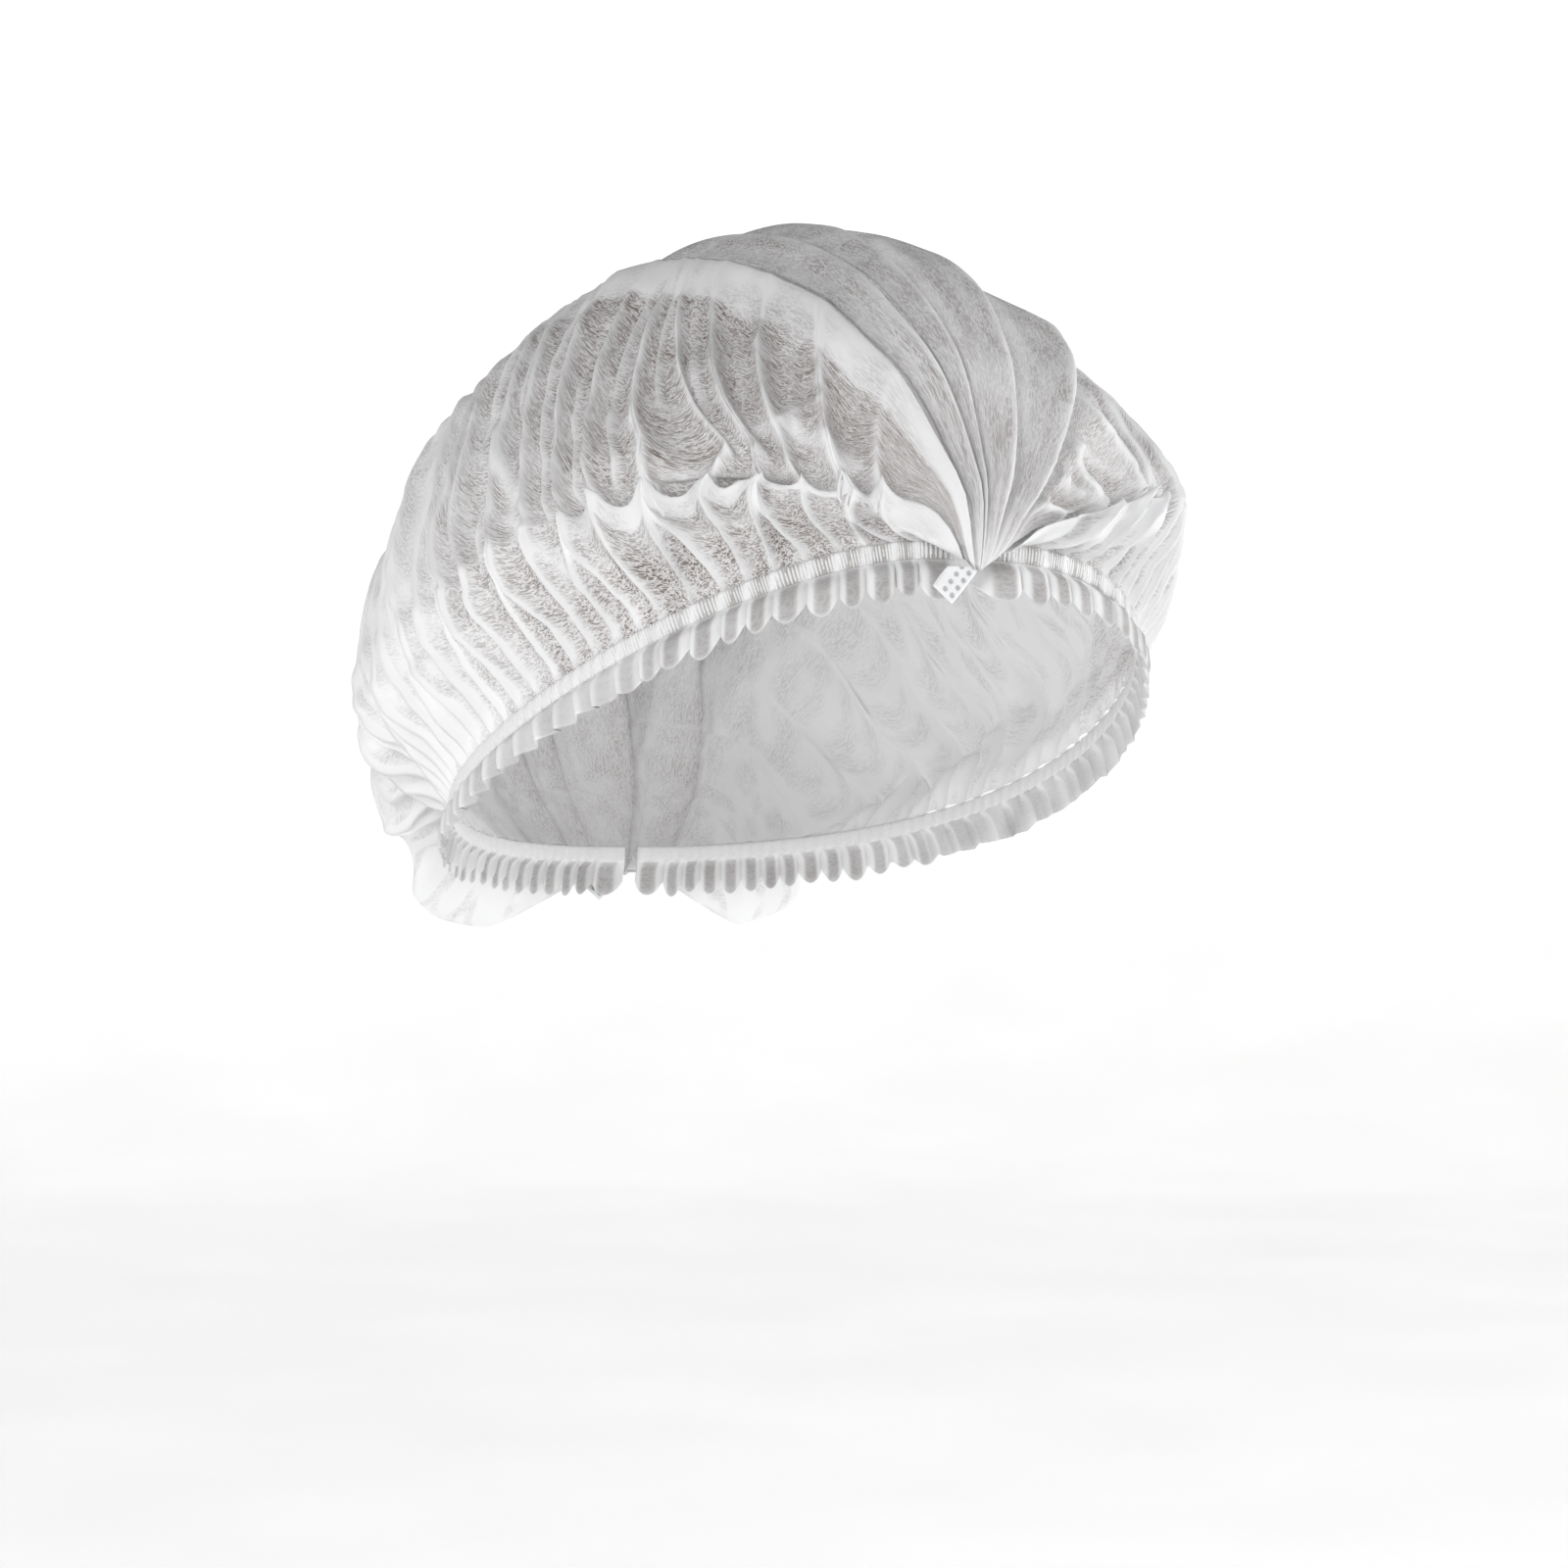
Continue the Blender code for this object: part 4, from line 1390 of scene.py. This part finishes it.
@dataclass
class WeldTab:
    """The bonded end of the pleated strip: all its layers fused flat, with rows of small bond marks.

    Sizes are in metres. The marks stand two abreast and five high.
    """

    node: str
    width: float = 0.0060
    length: float = 0.0105
    turn_degrees: float = 40.0
    half_thickness: float = 0.00035
    edge_share: float = 0.35
    edge_reach: float = 0.08
    bow: float = 0.0005
    mark_pitch: float = 0.0021
    mark_inset: float = 0.00135
    mark_radius: float = 0.00062
    mark_depth: float = 0.00022
    marks_beside: int = 1
    marks_above: int = 4
    columns: int = 40
    rows: int = 70
    sharp_degrees: float = 50.0

    def dents(self, beside: np.ndarray, above: np.ndarray) -> np.ndarray:
        """Find where the bond marks lie.

        Args:
            beside: Distances from the tab's inner edge.
            above: Distances from its free end.

        Returns:
            1 in a mark, falling to 0 beside it.
        """
        beside, above = beside - self.mark_inset, above - self.mark_inset
        beside = beside - self.mark_pitch * np.clip(np.round(beside / self.mark_pitch), 0, self.marks_beside)
        above = above - self.mark_pitch * np.clip(np.round(above / self.mark_pitch), 0, self.marks_above)
        rim = 0.6 * self.mark_radius
        return 1.0 - ramp(np.hypot(beside, above), rim, rim)

    def build(self) -> bpy.types.Object:
        """Make the tab where its solid hangs.

        Returns:
            The tab's object, without its material.
        """
        low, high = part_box(self.node)
        turn = math.radians(self.turn_degrees)
        down = np.array([-math.sin(turn), -math.cos(turn)])
        across = np.array([-math.cos(turn), math.sin(turn)])
        tip = self.length * down
        corner = tip + self.width * across
        root = corner - down * (corner[1] / down[1])
        v, u = np.meshgrid(
            np.linspace(0.0, 1.0, self.rows + 1), np.linspace(0.0, 1.0, self.columns + 1), indexing="ij",
        )
        flat = ((1 - u) * v)[..., None] * tip + (u * (1 - v))[..., None] * root + (u * v)[..., None] * corner
        dent = self.dents((flat - tip) @ across, -((flat - tip) @ down))
        edge = np.minimum.reduce([u, 1 - u, 1 - v])
        thick = self.edge_share + (1.0 - self.edge_share) * ramp(edge, 0.0, self.edge_reach)
        thick = self.half_thickness * thick - self.mark_depth * dent
        middle = 0.5 * (low[1] + high[1]) + self.bow * np.sin(np.pi * v) * (u - 0.5)
        front, rear = (
            np.stack([high[0] + flat[..., 0], middle + sign * thick, high[2] + flat[..., 1]], axis=-1)
            for sign in (-1.0, 1.0)
        )
        points = np.concatenate([front, rear[:, ::-1]], axis=1)
        mark = np.concatenate([dent, dent[:, ::-1]], axis=1)
        uv = np.concatenate([flat, flat[:, ::-1]], axis=1)
        item = make_mesh(self.node + "_tab", points, uv, {"bond": mark})
        self.close_edges(item.data)
        item.data.shade_smooth()
        item.data.set_sharp_from_angle(angle=math.radians(self.sharp_degrees))
        return item

    def close_edges(self, mesh: bpy.types.Mesh) -> None:
        """Close the tab along one side and at both ends.

        Args:
            mesh: The tab's mesh, whose rows hold the points of the front and then those of the rear.
        """
        edit = bmesh.new()
        edit.from_mesh(mesh)
        edit.verts.ensure_lookup_table()
        count = 2 * (self.columns + 1)
        starts = [row * count for row in range(self.rows + 1)]
        rings = [[a, b, b + count - 1, a + count - 1] for a, b in zip(starts, starts[1:])]
        for start in (starts[0], starts[-1]):
            rings += [
                [start + k, start + k + 1, start + count - 2 - k, start + count - 1 - k]
                for k in range(self.columns)
            ]
        for ring in rings:
            edit.faces.new([edit.verts[k] for k in ring])
        bmesh.ops.recalc_face_normals(edit, faces=edit.faces)
        edit.to_mesh(mesh)
        edit.free()


def linear(hex_colour: str) -> tuple[float, float, float, float]:
    """Turn an sRGB hex colour into linear values.

    Args:
        hex_colour: A mark and six hex digits.

    Returns:
        Red, green and blue, and an alpha of 1.
    """
    channels = [int(hex_colour[k:k + 2], 16) / 255.0 for k in (1, 3, 5)]
    red, green, blue = [c / 12.92 if c <= 0.04045 else ((c + 0.055) / 1.055) ** 2.4 for c in channels]
    return red, green, blue, 1.0


def add_node(
    tree: bpy.types.NodeTree, kind: str, settings: dict | None = None, links: dict | None = None,
) -> bpy.types.Node:
    """Add a node to a tree.

    Args:
        tree: Shader or geometry tree.
        kind: The node's type name.
        settings: Values by name, for the node's own options or its unlinked inputs.
        links: Output sockets by the name or number of the input that they feed.

    Returns:
        The new node.
    """
    node = tree.nodes.new(kind)
    for key, value in (settings or {}).items():
        if isinstance(key, str) and hasattr(node, key):
            setattr(node, key, value)
        else:
            node.inputs[key].default_value = value
    for key, socket in (links or {}).items():
        tree.links.new(socket, node.inputs[key])
    return node


def new_material(name: str) -> tuple[bpy.types.Material, bpy.types.NodeTree]:
    """Make an empty material.

    Args:
        name: Its name.

    Returns:
        The material and its tree.
    """
    material = bpy.data.materials.new(name)
    material.use_nodes = True
    material.node_tree.nodes.clear()
    return material, material.node_tree


@dataclass(frozen=True)
class Spunbond:
    """Spunbond polypropylene cloth, about 13 g a square metre.

    To the eye it is matt and white, of endless filaments laid in loose curls. It is so thin that one
    layer looks grey and shows what is behind it, and three look white. The grey of thin cloth is
    painted shade, a dark warm tone that stands in for the shaded inside of the cap seen through it.
    The real filaments are about 0.02 mm thick, too fine to show, so they are drawn a few tenths of a
    millimetre wide, with curls of real size.
    """

    name: str = "spunbond_polypropylene"
    thick: str = "#FAFAFB"
    # The thin colour is painted shade: a dark warm grey that stands in for the shaded inside of the cap seen
    # through thin cloth.
    thin: str = "#74635A"
    thick_cover: float = 0.995
    thin_cover: float = 0.76
    curl_mm: float = 2.3
    small_curls: float = 0.62
    curl_stretch: tuple[float, float, float] = (0.55, 1.6, 1.0)
    curl_turns: tuple[float, float] = (0.25, -0.55)
    line_share: float = 0.072
    line_mass: float = 0.85
    # Crest lines are whiter: partly bunched cloth and partly painted highlight on the ridges.
    crest_mass_and_highlight: float = 0.95
    patches_per_metre: float = 110.0
    patch_mass: float = 0.16
    glow: float = 0.22
    roughness: float = 0.80
    ior: float = 1.49
    specular: float = 0.25

    def filaments(
        self, tree: bpy.types.NodeTree, place: bpy.types.NodeSocket, size_mm: float, turn: float,
    ) -> bpy.types.NodeSocket:
        """Draw curled filaments as the contour lines of stretched noise.

        Args:
            tree: The material's tree.
            place: Flat place on the cut cloth.
            size_mm: Size of a curl in millimetres.
            turn: Turn of the curls on the cloth in radians.

        Returns:
            A socket that is 1 on a filament and 0 beside it.
        """
        laid = add_node(
            tree, "ShaderNodeMapping", {"Rotation": (0.0, 0.0, turn), "Scale": self.curl_stretch},
            {"Vector": place},
        ).outputs["Vector"]
        curls = add_node(
            tree, "ShaderNodeTexNoise", {"Scale": 1.0 / (size_mm * MM), "Detail": 1.0, "Roughness": 0.9},
            {"Vector": laid},
        ).outputs["Fac"]
        level = add_node(tree, "ShaderNodeMath", {"operation": "SUBTRACT", 1: 0.5}, {0: curls})
        away = add_node(tree, "ShaderNodeMath", {"operation": "ABSOLUTE"}, {0: level.outputs[0]})
        return add_node(
            tree, "ShaderNodeMapRange",
            {"From Min": 0.0, "From Max": self.line_share, "To Min": 1.0, "To Max": 0.0},
            {"Value": away.outputs[0]},
        ).outputs["Result"]

    def mass(self, tree: bpy.types.NodeTree) -> bpy.types.NodeSocket:
        """Find how much fibre there is at each place of the cloth, with the painted shade and painted
        highlight that its marks carry.

        Args:
            tree: The material's tree.

        Returns:
            A socket that is 0 for the thinnest cloth and 1 for three layers.
        """
        flat = add_node(tree, "ShaderNodeUVMap", {"uv_map": "flat"}).outputs["UV"]
        crest = add_node(tree, "ShaderNodeAttribute", {"attribute_name": "crest"}).outputs["Fac"]
        layers = add_node(tree, "ShaderNodeAttribute", {"attribute_name": "layers"}).outputs["Fac"]
        large = self.filaments(tree, flat, self.curl_mm, self.curl_turns[0])
        small = self.filaments(tree, flat, self.small_curls * self.curl_mm, self.curl_turns[1])
        strands = add_node(tree, "ShaderNodeMath", {"operation": "MAXIMUM"}, {0: large, 1: small}).outputs[0]
        patches = add_node(
            tree, "ShaderNodeTexNoise", {"Scale": self.patches_per_metre, "Detail": 0.0}, {"Vector": flat},
        ).outputs["Fac"]
        cloud = add_node(
            tree, "ShaderNodeMapRange",
            {"From Min": 0.30, "From Max": 0.70, "To Min": -self.patch_mass, "To Max": self.patch_mass},
            {"Value": patches},
        ).outputs["Result"]
        ridge = add_node(
            tree, "ShaderNodeMath", {"operation": "MULTIPLY_ADD", 1: self.crest_mass_and_highlight}, {0: crest, 2: layers},
        ).outputs[0]
        body = add_node(
            tree, "ShaderNodeMath", {"operation": "ADD", "use_clamp": True}, {0: ridge, 1: cloud},
        ).outputs[0]
        bare = add_node(tree, "ShaderNodeMath", {"operation": "SUBTRACT", 0: 1.0}, {1: body}).outputs[0]
        thread = add_node(tree, "ShaderNodeMath", {"operation": "MULTIPLY"}, {0: strands, 1: bare}).outputs[0]
        return add_node(
            tree, "ShaderNodeMath", {"operation": "MULTIPLY_ADD", 1: self.line_mass, "use_clamp": True},
            {0: thread, 2: body},
        ).outputs[0]

    def material(self) -> bpy.types.Material:
        """Build the cloth's material, which reads the cut cloth's own flat places.

        Returns:
            The material.
        """
        material, tree = new_material(self.name)
        mass = self.mass(tree)
        cover = add_node(
            tree, "ShaderNodeMapRange", {"To Min": self.thin_cover, "To Max": self.thick_cover},
            {"Value": mass},
        ).outputs["Result"]
        # The colour runs from the thin colour's painted shade to white as the mass grows, so the painted
        # shade and painted highlight in the marks reach the colour.
        colour = add_node(
            tree, "ShaderNodeMix", {"data_type": "RGBA", 6: linear(self.thin), 7: linear(self.thick)},
            {0: mass},
        ).outputs[2]
        cloth = add_node(
            tree, "ShaderNodeBsdfPrincipled",
            {"Roughness": self.roughness, "IOR": self.ior, "Specular IOR Level": self.specular},
            {"Base Color": colour},
        ).outputs["BSDF"]
        glow = add_node(tree, "ShaderNodeBsdfTranslucent", {}, {"Color": colour}).outputs["BSDF"]
        lit = add_node(tree, "ShaderNodeMixShader", {0: self.glow}, {1: cloth, 2: glow}).outputs["Shader"]
        clear = add_node(tree, "ShaderNodeBsdfTransparent").outputs["BSDF"]
        whole = add_node(tree, "ShaderNodeMixShader", {}, {0: cover, 1: clear, 2: lit}).outputs["Shader"]
        add_node(tree, "ShaderNodeOutputMaterial", {}, {"Surface": whole})
        return material


@dataclass(frozen=True)
class CrimpedCasing:
    """The same cloth pulled tight over the elastic.

    To the eye it is dense, white and matt; the slits between its crimps are given a grey of painted
    shade, which stands in for the shadow in them. Its fibres are too fine to show, so their grain is
    drawn 0.35 mm wide.
    """

    name: str = "crimped_casing_cloth"
    white: str = "#F1F1F2"
    # Grey of painted shade for the gaps between the crimps, and how strongly it is laid on.
    slit_shade: str = "#A09C99"
    slit_shade_strength: float = 0.75
    grain_mm: float = 0.35
    grain_bump_mm: float = 0.1
    grain_dark: float = 0.82
    roughness: float = 0.75
    ior: float = 1.49
    specular: float = 0.3

    def material(self) -> bpy.types.Material:
        """Build the casing's material.

        Returns:
            The material.
        """
        material, tree = new_material(self.name)
        place = add_node(tree, "ShaderNodeTexCoord").outputs["Object"]
        slit_shade = add_node(tree, "ShaderNodeAttribute", {"attribute_name": "slit_shade"}).outputs["Fac"]
        grain = add_node(
            tree, "ShaderNodeTexNoise", {"Scale": 1.0 / (self.grain_mm * MM), "Detail": 2.0},
            {"Vector": place},
        ).outputs["Fac"]
        tone = add_node(
            tree, "ShaderNodeMapRange",
            {"From Min": 0.3, "From Max": 0.7, "To Min": self.grain_dark, "To Max": 1.0}, {"Value": grain},
        ).outputs["Result"]
        shade = add_node(
            tree, "ShaderNodeMath", {"operation": "MULTIPLY_ADD", 1: -self.slit_shade_strength, "use_clamp": True},
            {0: slit_shade, 2: tone},
        ).outputs[0]
        colour = add_node(
            tree, "ShaderNodeMix", {"data_type": "RGBA", 6: linear(self.slit_shade), 7: linear(self.white)},
            {0: shade},
        ).outputs[2]
        bump = add_node(
            tree, "ShaderNodeBump", {"Strength": 0.25, "Distance": self.grain_bump_mm * MM},
            {"Height": grain},
        ).outputs["Normal"]
        cloth = add_node(
            tree, "ShaderNodeBsdfPrincipled",
            {"Roughness": self.roughness, "IOR": self.ior, "Specular IOR Level": self.specular},
            {"Base Color": colour, "Normal": bump},
        ).outputs["BSDF"]
        add_node(tree, "ShaderNodeOutputMaterial", {}, {"Surface": cloth})
        return material


@dataclass(frozen=True)
class FusedLayers:
    """Layers of the cloth fused by ultrasonic welding.

    To the eye they are dense and slightly glossy, and clear and grey at the bond marks, where the
    filaments have melted. Their fibres are too fine to show, so their grain is drawn 0.5 mm wide.
    """

    name: str = "welded_polypropylene"
    white: str = "#ECEDEE"
    melted: str = "#B2B2B4"
    grain_mm: float = 0.5
    grain_bump_mm: float = 0.1
    grain_grey: float = 0.25
    matt: float = 0.55
    glossy: float = 0.28
    ior: float = 1.49

    def material(self) -> bpy.types.Material:
        """Build the weld's material.

        Returns:
            The material.
        """
        material, tree = new_material(self.name)
        place = add_node(tree, "ShaderNodeTexCoord").outputs["Object"]
        bond = add_node(tree, "ShaderNodeAttribute", {"attribute_name": "bond"}).outputs["Fac"]
        grain = add_node(
            tree, "ShaderNodeTexNoise", {"Scale": 1.0 / (self.grain_mm * MM), "Detail": 2.0},
            {"Vector": place},
        ).outputs["Fac"]
        spotted = add_node(
            tree, "ShaderNodeMath", {"operation": "MULTIPLY_ADD", 1: self.grain_grey, "use_clamp": True},
            {0: grain, 2: bond},
        ).outputs[0]
        colour = add_node(
            tree, "ShaderNodeMix", {"data_type": "RGBA", 6: linear(self.white), 7: linear(self.melted)},
            {0: spotted},
        ).outputs[2]
        gloss = add_node(
            tree, "ShaderNodeMapRange", {"To Min": self.matt, "To Max": self.glossy}, {"Value": bond},
        ).outputs["Result"]
        bump = add_node(
            tree, "ShaderNodeBump", {"Strength": 0.3, "Distance": self.grain_bump_mm * MM}, {"Height": grain},
        ).outputs["Normal"]
        film = add_node(
            tree, "ShaderNodeBsdfPrincipled", {"IOR": self.ior},
            {"Base Color": colour, "Roughness": gloss, "Normal": bump},
        ).outputs["BSDF"]
        add_node(tree, "ShaderNodeOutputMaterial", {}, {"Surface": film})
        return material


@dataclass(frozen=True)
class StudioPaper:
    """Seamless studio paper. To the eye it is matt and almost white, with a faint mottle."""

    name: str = "seamless_paper"
    colour: str = "#F4F4F3"
    light_colour: str = "#FFFFFF"
    mottle_per_metre: float = 6.0
    lift: float = 0.56
    roughness: float = 0.9
    specular: float = 0.1

    def material(self) -> bpy.types.Material:
        """Build the paper's material, with a lift that keeps it pale.

        Returns:
            The material.
        """
        material, tree = new_material(self.name)
        place = add_node(tree, "ShaderNodeTexCoord").outputs["Object"]
        mottle = add_node(
            tree, "ShaderNodeTexNoise", {"Scale": self.mottle_per_metre}, {"Vector": place},
        ).outputs["Fac"]
        tone = add_node(
            tree, "ShaderNodeMix",
            {"data_type": "RGBA", 6: linear(self.colour), 7: linear(self.light_colour)}, {0: mottle},
        ).outputs[2]
        paper = add_node(
            tree, "ShaderNodeBsdfPrincipled",
            {
                "Roughness": self.roughness, "Specular IOR Level": self.specular,
                "Emission Strength": self.lift,
            },
            {"Base Color": tone, "Emission Color": tone},
        ).outputs["BSDF"]
        add_node(tree, "ShaderNodeOutputMaterial", {}, {"Surface": paper})
        return material


@dataclass(frozen=True)
class SoftLight:
    """A soft square light that faces the cap."""

    name: str
    place: tuple[float, float, float]
    size: float
    watts: float
    aim: tuple[float, float, float] = (0.0, 0.0, 0.03)

    def build(self) -> None:
        """Add the light to the scene."""
        data = bpy.data.lights.new(self.name, "AREA")
        data.size = self.size
        data.energy = self.watts
        item = bpy.data.objects.new(self.name, data)
        item.location = self.place
        item.rotation_euler = (Vector(self.aim) - Vector(self.place)).to_track_quat("-Z", "Y").to_euler()
        bpy.context.scene.collection.objects.link(item)


@dataclass
class Studio:
    """Camera, soft lights and a pale sweep of paper."""

    camera_azimuth: float = -25.0
    camera_distance: float = 0.900
    camera_height: float = -0.028
    focal_pixels: float = 3843.0
    image_pixels: float = 1600.0
    rise_pixels: float = 60.0
    shift_pixels: float = 3.0
    sensor_mm: float = 36.0
    nearest: float = 0.01
    farthest: float = 50.0
    floor_z: float = -0.32
    floor_half: float = 3.5
    floor_hole: float = 0.01
    bend_radius: float = 1.0
    bend_steps: int = 16
    round_steps: int = 64
    wall_height: float = 1.36
    lights: tuple[SoftLight, ...] = (
        SoftLight("key", (-1.50, -1.30, 0.55), 0.7, 14.0),
        SoftLight("fill", (1.75, -0.75, 0.35), 1.2, 19.0),
        SoftLight("top", (0.5, 0.7, 1.8), 1.0, 1.5),
    )
    air: str = "#F7F9FC"
    air_strength: float = 0.12

    def camera(self) -> None:
        """Place the camera at the photograph's angle."""
        data = bpy.data.cameras.new("camera")
        data.sensor_width = self.sensor_mm
        data.lens = self.sensor_mm * self.focal_pixels / self.image_pixels
        data.clip_start, data.clip_end = self.nearest, self.farthest
        item = bpy.data.objects.new("camera", data)
        bpy.context.scene.collection.objects.link(item)
        azimuth = math.radians(self.camera_azimuth)
        item.location = (
            math.sin(azimuth) * self.camera_distance,
            -math.cos(azimuth) * self.camera_distance,
            self.camera_height,
        )
        pitch = math.atan(self.rise_pixels / self.focal_pixels)
        yaw = azimuth + math.atan(self.shift_pixels / self.focal_pixels)
        item.rotation_euler = (math.radians(90.0) + pitch, 0.0, yaw)
        bpy.context.scene.camera = item

    def paper(self) -> bpy.types.Object:
        """Lay the paper below the cap and bend it up all round.

        Returns:
            The paper, in its own material.
        """
        turns = np.linspace(0.0, 0.5 * np.pi, self.bend_steps + 1)
        bend = self.floor_half - self.bend_radius + self.bend_radius * np.sin(turns)
        reach = np.concatenate([[self.floor_hole], bend, [self.floor_half]])
        rise = np.concatenate([[0.0], self.bend_radius * (1.0 - np.cos(turns)), [self.wall_height]])
        around = np.linspace(0.0, 2.0 * np.pi, self.round_steps + 1)
        points = np.stack(np.broadcast_arrays(
            reach[:, None] * np.cos(around)[None, :],
            reach[:, None] * np.sin(around)[None, :],
            self.floor_z + rise[:, None],
        ), axis=-1)
        item = make_mesh("paper", points, np.zeros(points.shape[:2] + (2,)), {})
        item.data.materials.append(StudioPaper().material())
        return item

    def build(self) -> None:
        """Set the studio up round the cap."""
        self.camera()
        self.paper()
        for light in self.lights:
            light.build()
        scene = bpy.context.scene
        scene.world = bpy.data.worlds.new("studio_air")
        scene.world.use_nodes = True
        background = scene.world.node_tree.nodes["Background"].inputs
        background["Color"].default_value = linear(self.air)
        background["Strength"].default_value = self.air_strength
        scene.view_settings.view_transform = "Standard"
        scene.cycles.max_bounces = 4
        scene.cycles.diffuse_bounces = 2
        scene.cycles.transmission_bounces = 2
        scene.cycles.transparent_max_bounces = 4


def place_piece(piece: bpy.types.Object, finish: bpy.types.Material | None, slot: str, *nodes: str) -> None:
    """Dress a piece, fix it to the cap and report it.

    Args:
        piece: The finished piece.
        finish: Its material, or None if it has one.
        slot: The record's material slot, which is not used.
        nodes: The solids that it stands for.
    """
    if finish is not None:
        piece.data.materials.append(finish)
    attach(piece, "root")
    if nodes:
        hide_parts(*nodes)
    area = sum(face.area for face in piece.data.polygons)
    log.info("%s: %d faces, %.4f square metres", piece.name, len(piece.data.polygons), area)


def main() -> None:
    """Build the cap's pieces and the studio in order."""
    logging.basicConfig(level=logging.INFO, format="%(name)s: %(message)s")
    bag = CapBag()
    crown = Crown(bag)
    sheet = crown.build()
    place_piece(sheet, Spunbond().material(), "crown_cloth", "crown")
    # Its thin colour is painted shade too, a lighter grey for the doubled hem.
    hem_cloth = Spunbond(
        name="doubled_spunbond_hem", line_mass=0.22, thin="#B6B3B2", thin_cover=0.86, thick_cover=0.99,
    ).material()
    casing = CrimpedCasing().material()
    crimp_nodes = crimp_tree()
    for side, lines in ((Side.RIGHT, crown.right_lines), (Side.LEFT, crown.left_lines)):
        hand = side.name.lower()
        frill = Frill(bag.opening, side, lines)
        ruffle = frill.build()
        place_piece(ruffle, hem_cloth, "frill_cloth", f"frill_{hand}")
        elastic = Elastic(bag.opening, side, lines)
        place_piece(elastic.band(), casing, "elastic", f"elastic_{hand}")
        place_piece(elastic.crimps(crimp_nodes, casing), None, "elastic")
    fused = FusedLayers().material()
    for node in ("front_weld", "back_weld"):
        place_piece(WeldTab(node).build(), fused, "weld", node)
    Studio().build()
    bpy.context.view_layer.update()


if __name__ == "__main__":
    main()
